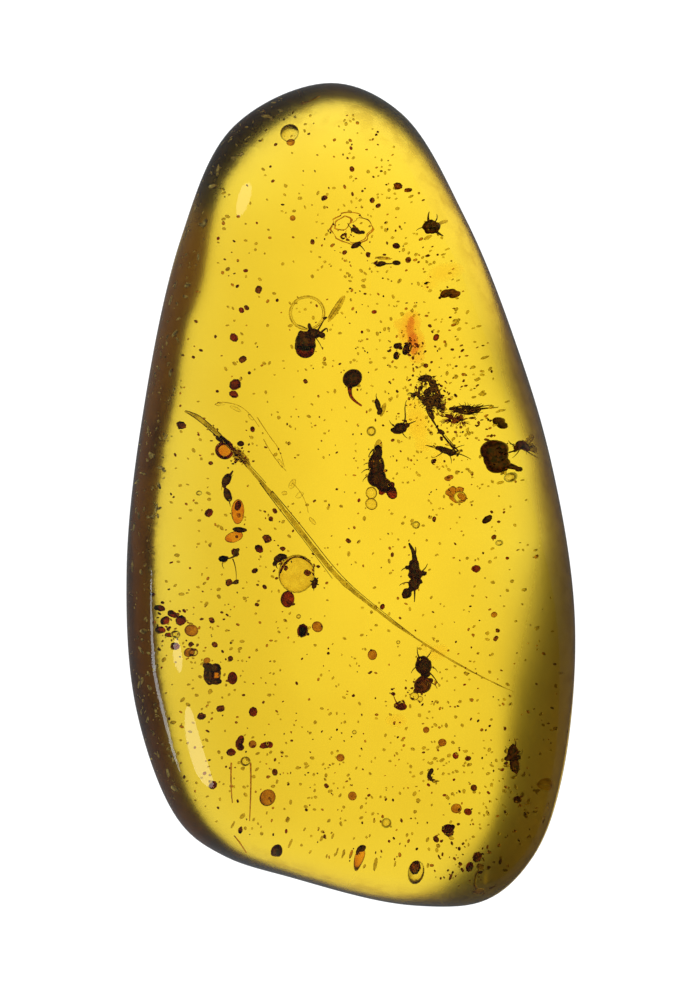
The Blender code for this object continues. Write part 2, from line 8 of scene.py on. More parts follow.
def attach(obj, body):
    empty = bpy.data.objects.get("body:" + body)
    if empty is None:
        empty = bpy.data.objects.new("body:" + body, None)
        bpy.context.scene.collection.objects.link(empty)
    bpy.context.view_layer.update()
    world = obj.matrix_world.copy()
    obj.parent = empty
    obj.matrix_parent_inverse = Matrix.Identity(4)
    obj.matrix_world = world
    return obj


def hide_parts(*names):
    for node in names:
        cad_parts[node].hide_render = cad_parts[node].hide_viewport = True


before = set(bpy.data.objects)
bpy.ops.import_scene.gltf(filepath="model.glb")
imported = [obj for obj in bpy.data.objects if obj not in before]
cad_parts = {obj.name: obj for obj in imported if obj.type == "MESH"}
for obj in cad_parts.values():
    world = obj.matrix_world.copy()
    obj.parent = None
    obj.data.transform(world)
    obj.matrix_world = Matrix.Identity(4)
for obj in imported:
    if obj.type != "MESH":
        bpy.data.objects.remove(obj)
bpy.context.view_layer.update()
millimetre = 0.001  # pieces are modelled at one unit to the millimetre, then shrunk
chance = random.Random(11)  # one seed, so that the strewn grains fall the same each time
white = (1.0, 1.0, 1.0, 1.0)


def pickOnly(piece):
    bpy.ops.object.select_all(action="DESELECT")
    piece.select_set(True)
    bpy.context.view_layer.objects.active = piece


def applyModifier(piece, kind, **settings):
    modifier = piece.modifiers.new(kind.title(), kind)
    for key, value in settings.items():
        setattr(modifier, key, value)
    pickOnly(piece)
    bpy.ops.object.modifier_apply(modifier=modifier.name)


def bakePlace(piece):
    pickOnly(piece)
    bpy.ops.object.transform_apply(location=True, rotation=True, scale=True)


def joinAll(pieces, name):
    bpy.ops.object.select_all(action="DESELECT")
    for piece in pieces:
        piece.select_set(True)
    bpy.context.view_layer.objects.active = pieces[0]
    if len(pieces) > 1:
        bpy.ops.object.join()
    joined = bpy.context.view_layer.objects.active
    joined.name = name
    joined.data.name = name
    return joined


# Shrinks a piece to its real size, shades it smooth and hands it to the frame
def finishPiece(piece, material, nodes=()):
    piece.data.transform(Matrix.Scale(millimetre, 4))
    for face in piece.data.polygons:
        face.use_smooth = True
    piece.data.materials.clear()
    piece.data.materials.append(material)
    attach(piece, "root")
    if nodes:
        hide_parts(*nodes)


# A web colour as linear red, green, blue and alpha
def linear(hexColour):
    colour = []
    for start in (1, 3, 5):
        part = int(hexColour[start:start + 2], 16) / 255
        colour.append(part / 12.92 if part <= 0.04045 else ((part + 0.055) / 1.055) ** 2.4)
    return (*colour, 1.0)


# One shader node with its settings, socket values and incoming links
def addNode(material, kind, values=None, links=None, **settings):
    node = material.node_tree.nodes.new(kind)
    for key, value in settings.items():
        setattr(node, key, value)
    for key, value in (values or {}).items():
        node.inputs[key].default_value = value
    for key, source in (links or {}).items():
        material.node_tree.links.new(source, node.inputs[key])
    return node


def multiplied(material, first, second):
    product = addNode(material, "ShaderNodeMath", links={0: first, 1: second}, operation="MULTIPLY")
    return product.outputs["Value"]


# Goes from low to high between two positions along an axis, in millimetres
def fadeBetween(material, position, stretch, ends=(0.0, 1.0)):
    fade = addNode(material, "ShaderNodeMapRange", {
        "From Min": stretch[0] * millimetre, "From Max": stretch[1] * millimetre,
        "To Min": ends[0], "To Max": ends[1]}, {"Value": position})
    return fade.outputs["Result"]


# Soft uneven patches of a real size, in millimetres
def addPatches(material, size, detail=3.0, roughness=0.5):
    place = addNode(material, "ShaderNodeTexCoord")
    patches = addNode(material, "ShaderNodeTexNoise", {
        "Scale": 1 / (size * millimetre), "Detail": detail, "Roughness": roughness},
        {"Vector": place.outputs["Object"]})
    return patches.outputs["Fac"]


def startMaterial(name):
    material = bpy.data.materials.new(name)
    material.use_nodes = True
    return material, material.node_tree.nodes["Principled BSDF"]


def startClearMaterial(name, ior, roughness=0.0):
    material, shader = startMaterial(name)
    shader.inputs["Base Color"].default_value = white
    shader.inputs["Transmission Weight"].default_value = 1.0
    shader.inputs["IOR"].default_value = ior
    shader.inputs["Roughness"].default_value = roughness
    return material, shader


# Light fades on its way through: loss is how fast red, green and blue go, to the metre
def absorbInside(material, loss, density):
    colour = [1 - part / density for part in loss]
    absorb = addNode(material, "ShaderNodeVolumeAbsorption", {"Color": (*colour, 1.0), "Density": density})
    output = material.node_tree.nodes["Material Output"]
    material.node_tree.links.new(absorb.outputs["Volume"], output.inputs["Volume"])


pebbleShape = {  # millimetres; each table pairs a direction in degrees with a value
    "thickness": 8.999,
    "sweepCentre": (0.0, -2.0),
    "outline": [
        (-1.0, 21.0), (-5.9, 18.7), (-8.6, 12.9), (-10.53, 4.1), (-11.35, -4.0), (-10.8, -11.1),
        (-8.6, -16.7), (-6.4, -18.45), (-3.1, -19.55), (3.2, -21.0), (6.8, -20.5), (9.2, -18.2),
        (10.6, -14.5), (11.37, -6.6), (10.3, 1.5), (8.4, 7.9), (5.9, 14.1), (2.6, 19.5),
    ],
    "girdleHeight": [  # how high the widest line of the stone runs
        (0, 3.8), (12, 3.0), (24, 2.3), (50, 2.6), (62, 2.5), (76, 2.1), (90, 2.6), (104, 4.2),
        (117, 5.0), (127, 4.3), (150, 4.1), (170, 4.2), (205, 4.3), (232, 4.4), (239, 4.0), (245, 2.8),
        (251, 2.0), (258, 1.5), (281, 1.2), (292, 6.2), (302, 6.5), (315, 6.2), (330, 5.6), (345, 4.8),
    ],
    "domeFullness": [  # 2 is a round dome, more is a flatter top with a tighter edge
        (0, 5), (35, 8), (70, 8), (95, 6), (130, 5), (220, 5), (245, 9), (262, 14), (280, 14), (298, 5),
        (330, 4.5),
    ],
    "underShoulder": [  # how far in from the edge the flat facet below starts
        (0, 7.0), (240, 7.0), (255, 5.5), (282, 5.5), (291, 4.8), (306, 6.5), (318, 7.0),
    ],
    "underRoundness": [  # 1 is a straight slope up from the facet
        (0, 1.5), (15, 1.1), (25, 1.0), (75, 1.0), (90, 1.3), (105, 1.6), (236, 1.6), (250, 1.1),
        (260, 1.0), (281, 1.0), (291, 1.4), (315, 1.4),
    ],
    "underFullness": 1.8,
    "widestShoulder": 0.62,  # the shoulder never takes more of the radius than this
    "easing": (-4.0, -2.4, -0.8, 0.8, 2.4, 4.0),  # degrees either side that a value is averaged over
    "withinSolid": 0.9975,  # the finer curve bulges past the solid's flats by this much
    "facetShare": 0.25,  # share of the sphere's underside latitudes given to the flat facet
    "curveSteps": 24,
    "segments": 288,
    "rings": 120,
}


# Centripetal curve through all the points and back to the first
def smoothClosedCurve(points, steps):
    count = len(points)
    curve = []
    for start in range(count):
        near = [Vector(points[(start + k - 1) % count]) for k in range(4)]
        knots = [0.0]
        for k in range(3):
            knots.append(knots[k] + math.sqrt((near[k + 1] - near[k]).length))
        for step in range(steps):
            at = knots[1] + (knots[2] - knots[1]) * step / steps
            level = near
            for wide in (1, 2):  # blends neighbours over one step, then over two
                level = [level[k].lerp(level[k + 1], (at - knots[k]) / (knots[k + wide] - knots[k]))
                         for k in range(4 - wide)]
            curve.append(level[0].lerp(level[1], (at - knots[1]) / (knots[2] - knots[1])))
    return curve


# Points evenly spaced by length along the outline, centred on its own box
def evenStations(shape, count):
    curve = smoothClosedCurve(shape["outline"], shape["curveSteps"])
    middle = Vector(((min(p.x for p in curve) + max(p.x for p in curve)) / 2,
                     (min(p.y for p in curve) + max(p.y for p in curve)) / 2))
    closed = [point - middle for point in curve + curve[:1]]
    reached = [0.0]
    for here, there in zip(closed, closed[1:]):
        reached.append(reached[-1] + (there - here).length)
    stations = []
    piece = 0
    for station in range(count):
        wanted = reached[-1] * station / count
        while reached[piece + 1] < wanted:
            piece += 1
        share = (wanted - reached[piece]) / (reached[piece + 1] - reached[piece])
        stations.append(closed[piece].lerp(closed[piece + 1], share))
    return stations


def straightValue(table, degrees):
    degrees %= 360.0
    for (low, lowValue), (high, highValue) in zip(table, table[1:] + [(360, table[0][1])]):
        if low <= degrees < high:
            return lowValue + (highValue - lowValue) * (degrees - low) / (high - low)
    return table[0][1]


def easedValue(shape, table, degrees):
    steps = shape["easing"]
    return sum(straightValue(shape[table], degrees + step) for step in steps) / len(steps)


# Distance out and height for one latitude, from -1 at the facet's middle to 1 at the crown
def sectionPoint(shape, section, radius, latitude):
    if latitude >= 0.0:
        turn = latitude * math.pi / 2
        out = radius * max(math.cos(turn), 0.0) ** (2 / section["dome"])
        return out, section["girdle"] + (shape["thickness"] - section["girdle"]) * math.sin(turn)
    shoulder = min(section["shoulder"], shape["widestShoulder"] * radius)
    slope = 1.0 - shape["facetShare"]
    if latitude < -slope:
        return (radius - shoulder) * (1.0 + latitude) / shape["facetShare"], 0.0
    turn = (1.0 + latitude / slope) * math.pi / 2
    out = radius - shoulder + shoulder * math.sin(turn) ** (2 / shape["underFullness"])
    return out, section["girdle"] * (1 - max(math.cos(turn), 0.0) ** (2 / section["round"]))


# A sphere whose meridians are bent into the pebble's sections
def buildPebble(shape):
    segments = shape["segments"]
    bpy.ops.object.select_all(action="DESELECT")
    bpy.ops.mesh.primitive_uv_sphere_add(segments=segments, ring_count=shape["rings"], radius=1.0)
    pebble = bpy.context.object
    centre = Vector(shape["sweepCentre"])
    columns = []
    for station in evenStations(shape, segments):
        arm = station * shape["withinSolid"] - centre
        degrees = math.degrees(math.atan2(arm.y, arm.x))
        section = {
            "girdle": easedValue(shape, "girdleHeight", degrees),
            "dome": easedValue(shape, "domeFullness", degrees),
            "shoulder": easedValue(shape, "underShoulder", degrees),
            "round": easedValue(shape, "underRoundness", degrees),
        }
        columns.append((arm.normalized(), arm.length, section))
    for vertex in pebble.data.vertices:
        x, y, z = vertex.co
        column = round(math.atan2(y, x) / (2 * math.pi) * segments) % segments
        latitude = math.asin(max(-1.0, min(1.0, z))) / (math.pi / 2)
        direction, radius, section = columns[column]
        out, up = sectionPoint(shape, section, radius, latitude)
        place = centre + direction * out
        vertex.co = (place.x, place.y, up)
    pebble.name = "amberPebble"
    return pebble


amberLook = {  # Heights, Across: the millimetres between which a layer comes in, up or to the right
    "ior": 1.54,
    "density": 600.0, "loss": (86, 127, 480),
    "wornHeights": (4.0, 2.0), "wornAcross": (-11, 11), "wornRoughness": (0.1, 0.42),
    "cloud": (0.96, 0.93, 0.86), "cloudSize": 3.2, "cloudCut": (0.35, 0.7),
    # painted shade: this brown tint on the light through the upper rim, growing from left to right, stands
    # in for the rim's dark shading
    "rimShadeTint": (1.0, 0.72, 0.12), "rimShadeHeights": (7.8, 5.2), "rimShadeAcross": (-11, 8), "rimShadeShare": (0.08, 1.0),
    "fleck": (0.72, 0.66, 0.52), "fleckSize": 0.9, "fleckCut": (0.56, 0.4), "fleckHeights": (7.7, 6.6),
    "edgeHeights": (1.2, 3.0),  # the painted rim shade and the flecks stop below this
    "pitSize": 1.1, "pitDetail": 4.0, "pitGrain": 0.6, "pitDepth": 0.15, "pitHeights": (8.4, 7.2),
    "pitFoot": (0.2, 0.9),
    "pitAcross": (-9, 1), "pitStrength": (0.07, 0.021),
}


# How much of a patchy layer lies at each spot, 0 to 1
def patchyShare(material, size, cut):
    share = addNode(material, "ShaderNodeMapRange", {"From Min": cut[0], "From Max": cut[1]},
                    {"Value": addPatches(material, size)})
    return share.outputs["Result"]


# Tints what is under it by a share
def addCoat(material, tint, share, under=None):
    links = {"Factor": share, "A": under} if under else {"Factor": share}
    coat = addNode(material, "ShaderNodeMix", {"A": white, "B": (*tint, 1.0)}, links,
                   data_type="RGBA", blend_type="MULTIPLY")
    return coat.outputs["Result"]


# Fossil resin, golden by absorption: polished on top, softly worn and pitted below, with painted shade
# tinting the upper rim browner, more so toward the right
def amberMaterial(look):
    material, shader = startClearMaterial("amberResin", look["ior"])
    place = addNode(material, "ShaderNodeTexCoord")
    axes = addNode(material, "ShaderNodeSeparateXYZ", links={0: place.outputs["Object"]})
    across, height = axes.outputs["X"], axes.outputs["Z"]

    worn = fadeBetween(material, height, look["wornHeights"])
    wear = fadeBetween(material, across, look["wornAcross"], look["wornRoughness"])
    edge = fadeBetween(material, height, look["edgeHeights"])
    rimShadeBand = multiplied(material, fadeBetween(material, height, look["rimShadeHeights"]), edge)
    rimShadeSide = fadeBetween(material, across, look["rimShadeAcross"], look["rimShadeShare"])
    fleckBand = multiplied(material, fadeBetween(material, height, look["fleckHeights"]), edge)
    flecks = patchyShare(material, look["fleckSize"], look["fleckCut"])
    skin = addCoat(material, look["cloud"], patchyShare(material, look["cloudSize"], look["cloudCut"]))
    # painted shade: browns the upper rim, more on the right side
    skin = addCoat(material, look["rimShadeTint"], multiplied(material, rimShadeBand, rimShadeSide), skin)
    skin = addCoat(material, look["fleck"], multiplied(material, fleckBand, flecks), skin)

    pitBand = multiplied(material, fadeBetween(material, height, look["pitHeights"]),
                         fadeBetween(material, height, look["pitFoot"]))
    pitSide = fadeBetween(material, across, look["pitAcross"], look["pitStrength"])
    bump = addNode(material, "ShaderNodeBump", {"Distance": look["pitDepth"] * millimetre}, {
        "Height": addPatches(material, look["pitSize"], look["pitDetail"], look["pitGrain"]),
        "Strength": multiplied(material, pitBand, pitSide)})
    material.node_tree.links.new(multiplied(material, worn, wear), shader.inputs["Roughness"])
    material.node_tree.links.new(skin, shader.inputs["Base Color"])
    material.node_tree.links.new(bump.outputs["Normal"], shader.inputs["Normal"])
    absorbInside(material, look["loss"], look["density"])
    return material


pebble = buildPebble(pebbleShape)
finishPiece(pebble, amberMaterial(amberLook), ["amber_upper", "amber_lower"])
print("amber pebble:", len(pebble.data.polygons), "faces")


toneCut = (0.4, 0.62)  # where the patches turn from the darker tone to the lighter
grainRelief = {"strength": 0.4, "depth": 0.2}  # the depth is a share of the patches' size


# Two tones in soft patches
def addTones(material, dark, light, patches):
    tones = addNode(material, "ShaderNodeValToRGB", links={"Fac": patches})
    for element, position, colour in zip(tones.color_ramp.elements, toneCut, (dark, light)):
        element.position = position
        element.color = linear(colour)
    return tones.outputs["Color"]


# Opaque chitin, wood or grit
def solidLook(name, dark, light, size, roughness, gloss=0.5):
    material, shader = startMaterial(name)
    patches = addPatches(material, size)
    bump = addNode(material, "ShaderNodeBump", {
        "Strength": grainRelief["strength"], "Distance": size * grainRelief["depth"] * millimetre},
        {"Height": patches})
    material.node_tree.links.new(addTones(material, dark, light, patches), shader.inputs["Base Color"])
    material.node_tree.links.new(bump.outputs["Normal"], shader.inputs["Normal"])
    shader.inputs["Roughness"].default_value = roughness
    shader.inputs["Specular IOR Level"].default_value = gloss
    return material


# See-through resin, gas or thin skin: the two tones tint the light that passes
def clearLook(name, dark, light, size, ior, roughness=0.0):
    material, shader = startClearMaterial(name, ior, roughness)
    tones = addTones(material, dark, light, addPatches(material, size))
    material.node_tree.links.new(tones, shader.inputs["Base Color"])
    return material


# Stained resin hardly bends light inside the amber and only absorbs more
def stainLook(name, loss, density, ior=1.003):
    material, _ = startClearMaterial(name, ior)
    absorbInside(material, loss, density)
    return material


looks = {  # darker tone, lighter tone, size of the patches in millimetres, then roughness or index
    "chitin": solidLook("carbonisedChitin", "#2e120a", "#7c402a", 0.16, 0.3),
    "brownChitin": solidLook("brownChitin", "#40240f", "#94683c", 0.2, 0.35),
    "rustChitin": solidLook("rustChitin", "#54200f", "#bc6c40", 0.2, 0.3),
    "wood": solidLook("charredWood", "#34180e", "#a87850", 0.12, 0.8, 0.2),
    "redGrain": solidLook("rustGrain", "#84300e", "#d8742c", 0.3, 0.6),
    "cherry": clearLook("cherryResin", "#300c08", "#943618", 0.4, 1.3),
    "orange": clearLook("orangeResin", "#d88830", "#f4bc58", 0.5, 1.28),
    "brownDrop": clearLook("brownDroplet", "#9c6424", "#cc9848", 0.3, 1.3),
    "oliveDrop": clearLook("oliveDroplet", "#b0a060", "#d4c684", 0.3, 1.1),
    "gas": clearLook("gasBubble", "#f4ecd0", "#ffffff", 0.6, 1.36),
    "wideGas": clearLook("wideGasBubble", "#e8d8ac", "#f8f0d8", 0.3, 1.2),
    "tinyGas": clearLook("tinyGasBubble", "#f4e8c8", "#ffffff", 0.6, 1.7),
    "skin": clearLook("thinSkin", "#a89a68", "#dccf9c", 0.25, 1.1, 0.15),
    "fibre": clearLook("plantFibre", "#9c9260", "#ccc084", 0.35, 1.12, 0.1),
    "stain": stainLook("orangeStain", (600, 2000, 1500), 2500.0),
    "haze": stainLook("paleOrangeStain", (40, 420, 700), 900.0),
    "glow": stainLook("goldenStain", (10, 170, 500), 600.0),
    "crumb": clearLook("brownCrumb", "#34160a", "#8c5024", 0.14, 1.22, 0.15),
    "dust": solidLook("rimDust", "#6a5426", "#ccb05c", 0.2, 0.8, 0.2),
}
print("materials mixed:", len(looks))


growth = {  # millimetres: how finely the sealed things are fused, and how uneven they are
    "segments": 24, "rings": 14,
    "grain": 0.028, "soften": 2,
    "lumpSize": 0.22, "lumpHeight": 0.07,
    "limbTip": 0.35,  # share of the root's radius left at the tip
    "ringFacets": (40, 8), "ringDepth": 0.6, "ragSize": 0.5,
    "hairRadius": 0.02, "hairTip": 0.5, "hairRoot": 0.35, "hairMiddle": 0.7, "hairEnd": (0.7, 1.15),
    "hairBend": 0.35,  # radians
}


def lumpyTexture(size):
    texture = bpy.data.textures.new("lumps", "CLOUDS")
    texture.noise_scale = size
    texture.noise_depth = 2
    return texture


def addBall(x, y, z, length, width, thickness, turn):
    bpy.ops.object.select_all(action="DESELECT")
    bpy.ops.mesh.primitive_uv_sphere_add(
        segments=growth["segments"], ring_count=growth["rings"], radius=0.5, location=(x, y, z),
        rotation=(0.0, 0.0, math.radians(turn)))
    ball = bpy.context.object
    ball.scale = (length, width, thickness)
    bakePlace(ball)
    return ball


# A round strand through the points, with its own radius at each
def addStrand(points, radii, sides, steps, order):
    curve = bpy.data.curves.new("strand", "CURVE")
    curve.dimensions = "3D"
    curve.bevel_depth = 1.0
    curve.bevel_resolution = sides
    curve.use_fill_caps = True
    curve.resolution_u = steps
    line = curve.splines.new("NURBS")
    line.points.add(len(points) - 1)
    line.order_u = order
    line.use_endpoint_u = True
    for knot, (x, y, z), radius in zip(line.points, points, radii):
        knot.co = (x, y, z, 1.0)
        knot.radius = radius
    strand = bpy.data.objects.new("strand", curve)
    bpy.context.scene.collection.objects.link(strand)
    pickOnly(strand)
    bpy.ops.object.convert(target="MESH")
    return bpy.context.object


# A leg, feeler, hair or stalk, thinner toward its tip
def addLimb(points, thickness, tip):
    shares = [index / (len(points) - 1) for index in range(len(points))]
    radii = [thickness * (1.0 + (tip - 1.0) * share) for share in shares]
    return addStrand(points, radii, sides=2, steps=4, order=3)


# Balls (x, y, length, width, turn, sometimes thickness) fused by a fine remesh, then made uneven
def growBody(at, balls, rough=1.0, depth=0.8):
    placed = []
    for ball in balls:
        x, y, length, width, turn = ball[:5]
        thickness = ball[5] if len(ball) > 5 else width * depth
        placed.append(addBall(at[0] + x, at[1] + y, at[2], length, width, thickness, turn))
    body = joinAll(placed, "body")
    applyModifier(body, "REMESH", mode="VOXEL", voxel_size=growth["grain"])
    applyModifier(body, "SMOOTH", factor=0.5, iterations=growth["soften"])
    if rough:
        applyModifier(body, "DISPLACE", texture=lumpyTexture(growth["lumpSize"]), texture_coords="LOCAL",
                      strength=growth["lumpHeight"] * rough, mid_level=0.5)
    return body


# Limbs are a radius at the root and points (x, y, sometimes z) from the middle
def growLimbs(at, limbs, tip=growth["limbTip"]):
    strands = []
    for radius, points in limbs:
        placed = [(at[0] + p[0], at[1] + p[1], at[2] + (p[2] if len(p) > 2 else 0.0)) for p in points]
        strands.append(addLimb(placed, radius, tip))
    return strands


# Short stray hairs that stick out all round a fuzzy scrap
def growHairs(at, centre, reach, count, radius=growth["hairRadius"]):
    def spot(angle, share):
        return (centre[0] + reach[0] * share * math.cos(angle),
                centre[1] + reach[1] * share * math.sin(angle))

    strands = []
    for _ in range(count):
        angle = chance.uniform(0, 2 * math.pi)
        root = growth["hairRoot"] * chance.random()
        end = chance.uniform(*growth["hairEnd"])
        bend = chance.uniform(-growth["hairBend"], growth["hairBend"])
        middle = spot(angle + bend, growth["hairMiddle"])
        strands.append((radius, [spot(angle, root), middle, spot(angle, end)]))
    return growLimbs(at, strands, growth["hairTip"])


# A thin closed vein: x, y, width, height, turn and thickness
def addRing(at, x, y, wide, high, turn, thickness):
    around, across = growth["ringFacets"]
    bpy.ops.object.select_all(action="DESELECT")
    bpy.ops.mesh.primitive_torus_add(
        location=(at[0] + x, at[1] + y, at[2]), rotation=(0.0, 0.0, math.radians(turn)),
        major_radius=0.5, minor_radius=thickness / wide, major_segments=around, minor_segments=across)
    ring = bpy.context.object
    ring.scale = (wide, high, wide * growth["ringDepth"])
    bakePlace(ring)
    return ring


# Everything is placed in millimetres from the middle of its node; fuzz is a centre, a reach and a count
def growPiece(name, node, look, balls=(), limbs=(), rings=(), fuzz=(),
              rough=1.0, ragged=0.0, lift=0.0, depth=0.8):
    x, y, z = places[node]
    at = (x, y, z + lift)
    parts = [growBody(at, balls, rough, depth)] if balls else []
    parts += growLimbs(at, limbs)
    parts += [addRing(at, *ring) for ring in rings]
    for centre, reach, count in fuzz:
        parts += growHairs(at, centre, reach, count)
    piece = joinAll(parts, name)
    if ragged:
        applyModifier(piece, "DISPLACE", texture=lumpyTexture(growth["ragSize"]), texture_coords="GLOBAL",
                      direction="X", strength=ragged, mid_level=0.5)
    finishPiece(piece, looks[look], [node])


# All the pieces of one sealed thing
def growFind(node, pieces):
    for name, piece in pieces.items():
        growPiece(name, node, **piece)


places = {  # middles of the sealed things, millimetres
    "fly": (-2.25, 7.5, 5.1), "rove_beetle": (1.4, 1.3, 3.75), "weevil": (3.15, -4.05, 4.95),
    "ant": (3.65, -9.05, 3.8), "leaf_beetle": (6.85, 1.85, 5.0), "rim_midge": (7.9, 2.35, 6.0),
    "ground_beetle": (3.4, 13.1, 4.9), "gall_gnat": (1.8, 11.55, 3.9), "amber_gnat": (-6.1, 2.35, 3.5),
    "thread_wasp": (-6.05, 0.4, 4.85), "long_midge": (4.8, 2.2, 3.7), "winged_aphid": (1.45, 4.4, 4.8),
    "mite": (2.5, 3.35, 4.9), "scale_insect": (-3.5, -3.25, 4.95), "springtail": (-1.85, -4.35, 4.95),
    "larva": (7.8, -13.25, 3.8), "wing_membrane": (-0.15, 13.25, 3.9), "moult_skin": (-5.8, -3.0, 4.8),
    "tailed_bead": (0.1, 5.85, 4.95), "wood_splinter": (3.95, 4.75, 5.2), "bark_shred": (5.55, 4.2, 3.8),
    "resin_stain": (3.0, 8.0, 5.3), "black_seed": (2.8, 7.3, 3.7), "bean_seed": (4.5, 9.85, 4.85),
    "frass_cluster": (5.1, 0.1, 3.8), "angular_seed": (6.6, -1.2, 4.85), "dark_seed": (6.7, 3.4, 3.8),
    "cherry_seed": (2.5, -10.6, 4.85), "bract_curl": (4.05, -14.05, 3.9), "low_seed": (4.8, -16.6, 4.85),
    "capped_bead": (0.65, -17.4, 3.8), "burnt_seed": (-3.35, -16.95, 4.85),
    "bark_crumb": (-5.45, -12.35, 4.85), "leaf_crumb": (-4.2, -12.55, 3.8),
    "rim_crumbs": (-8.55, -6.3, 4.85), "scale_flake": (-2.35, -6.8, 3.85),
    "cherry_bead": (-3.15, -5.25, 3.75), "small_cherry_bead": (-5.8, -9.2, 4.85),
    "pill_beetle": (-6.65, -9.05, 4.9), "resin_drop": (-5.55, -0.85, 5.0),
    "capped_drop": (-5.6, -2.0, 3.8),
}

fly = {  # on its side, one wing spread into a clear ring
    "flyBody": {
        "look": "chitin",
        "balls": [
            (0.0, 0.2, 1.0, 1.0, 0), (0.45, 0.6, 0.75, 0.46, -15), (0.83, 0.5, 0.36, 0.3, -30),
            (-0.23, 0.6, 0.3, 0.26, 50), (0.22, 0.9, 0.42, 0.2, 100), (-0.42, 0.0, 0.5, 0.2, 80),
            (0.42, 0.02, 0.5, 0.22, 98),
        ],
        "limbs": [
            (0.06, [(0.75, 0.6), (0.98, 0.82), (1.12, 0.85), (1.1, 0.66)]),
            (0.05, [(0.6, 0.7), (0.85, 1.1), (1.0, 1.38)]),
            (0.03, [(0.45, 0.45, -0.1), (0.72, 0.16, -0.2), (0.86, -0.22, -0.25)]),
            (0.03, [(0.1, 0.8, -0.1), (-0.2, 1.0, -0.15), (-0.42, 1.02, -0.2)]),
            (0.09, [(0.9, 1.3), (1.04, 1.4), (1.1, 1.36)]),
        ],
    },
    "flyAbdomen": {
        "look": "cherry", "rough": 0.3,
        "balls": [(0.0, -0.2, 0.98, 0.92, 0), (-0.05, -0.42, 0.6, 0.46, 0)],
    },
    "flyWing": {
        "look": "skin", "rough": 0.4,
        "balls": [(1.56, 1.82, 1.62, 0.34, 57, 0.1)],
        "limbs": [
            (0.025, [(1.2, 1.3), (1.6, 1.85), (1.95, 2.45)]),
            (0.02, [(1.15, 1.4), (1.42, 1.9), (1.86, 2.5)]),
        ],
    },
    "flyOtherWing": {
        "look": "skin",
        "rings": [(0.1, 1.6, 1.74, 1.66, 10, 0.04), (0.1, 1.6, 1.55, 1.5, 10, 0.02)],
    },
}
growFind("fly", fly)

tailedBead = {  # a dark seed with a curved red tail
    "tailedBeadHead": {"look": "chitin", "rough": 0.35, "balls": [(0.0, 0.0, 1.04, 0.9, 35)]},
    "tailedBeadTail": {
        "look": "cherry", "rough": 0.3,
        "balls": [(-0.12, -0.42, 0.32, 0.3, 90)],
        "limbs": [(0.13, [(-0.14, -0.35), (-0.14, -0.7), (0.0, -1.08), (0.47, -1.38)])],
    },
}
growFind("tailed_bead", tailedBead)

roveBeetle = {  # hunched, with red resin at its lower end
    "roveBeetleBody": {
        "look": "chitin", "rough": 0.4,
        "balls": [
            (-0.04, 0.78, 0.9, 0.5, 84), (-0.1, 0.2, 1.2, 0.84, 95), (-0.08, -0.42, 1.0, 0.95, 60),
            (0.26, -0.78, 0.85, 0.74, -25),
        ],
        "limbs": [
            (0.035, [(-0.4, 0.3), (-0.62, 0.34, -0.1), (-0.74, 0.2, -0.1)]),
            (0.035, [(-0.45, 0.0), (-0.7, 0.0, -0.1), (-0.85, -0.2, -0.1)]),
            (0.035, [(-0.45, -0.3), (-0.7, -0.4, -0.1), (-0.78, -0.62, -0.1)]),
            (0.04, [(-0.25, 1.0), (-0.45, 0.8, -0.1), (-0.5, 0.6, -0.1)]),
        ],
    },
    "roveBeetleTip": {
        "look": "skin", "rough": 0.4,
        "balls": [(0.0, 1.12, 0.78, 0.42, 82), (-0.3, 0.62, 0.9, 0.16, 70)],
    },
    "roveBeetleLobes": {
        "look": "cherry", "rough": 0.8,
        "balls": [
            (0.66, -1.15, 0.78, 0.56, -62), (0.2, -1.12, 0.4, 0.34, 40), (0.66, -0.78, 0.36, 0.3, 0),
        ],
    },
}
growFind("rove_beetle", roveBeetle)

weevil = {  # ragged, its snout up
    "weevilBody": {
        "look": "chitin", "rough": 1.6,
        "balls": [
            (0.03, 0.45, 0.8, 0.58, 92), (0.1, 0.08, 0.74, 0.66, 10), (0.5, 0.12, 0.36, 0.26, 0),
            (0.02, -0.45, 0.66, 0.58, 80), (-0.32, -0.88, 0.6, 0.5, 60), (-0.28, 0.42, 0.3, 0.22, 0),
            (0.3, -0.3, 0.3, 0.26, 30), (0.06, 0.85, 0.42, 0.28, 100),
        ],
        "limbs": [
            (0.13, [(0.06, 0.85), (0.02, 1.2), (-0.16, 1.5), (-0.22, 1.64)]),
            (0.06, [(0.03, 1.0), (0.16, 1.2), (0.1, 1.45)]),
            (0.05, [(-0.1, 0.42), (-0.42, 0.46, -0.1), (-0.6, 0.25, -0.15)]),
            (0.06, [(0.05, -0.6), (0.08, -0.95, -0.05), (0.05, -1.32, -0.1)]),
            (0.04, [(0.4, 0.2), (0.62, 0.36, -0.1), (0.7, 0.6, -0.15)]),
            (0.04, [(-0.05, -0.36), (-0.48, -0.28, -0.1), (-0.7, -0.5, -0.15)]),
        ],
    },
}
growFind("weevil", weevil)

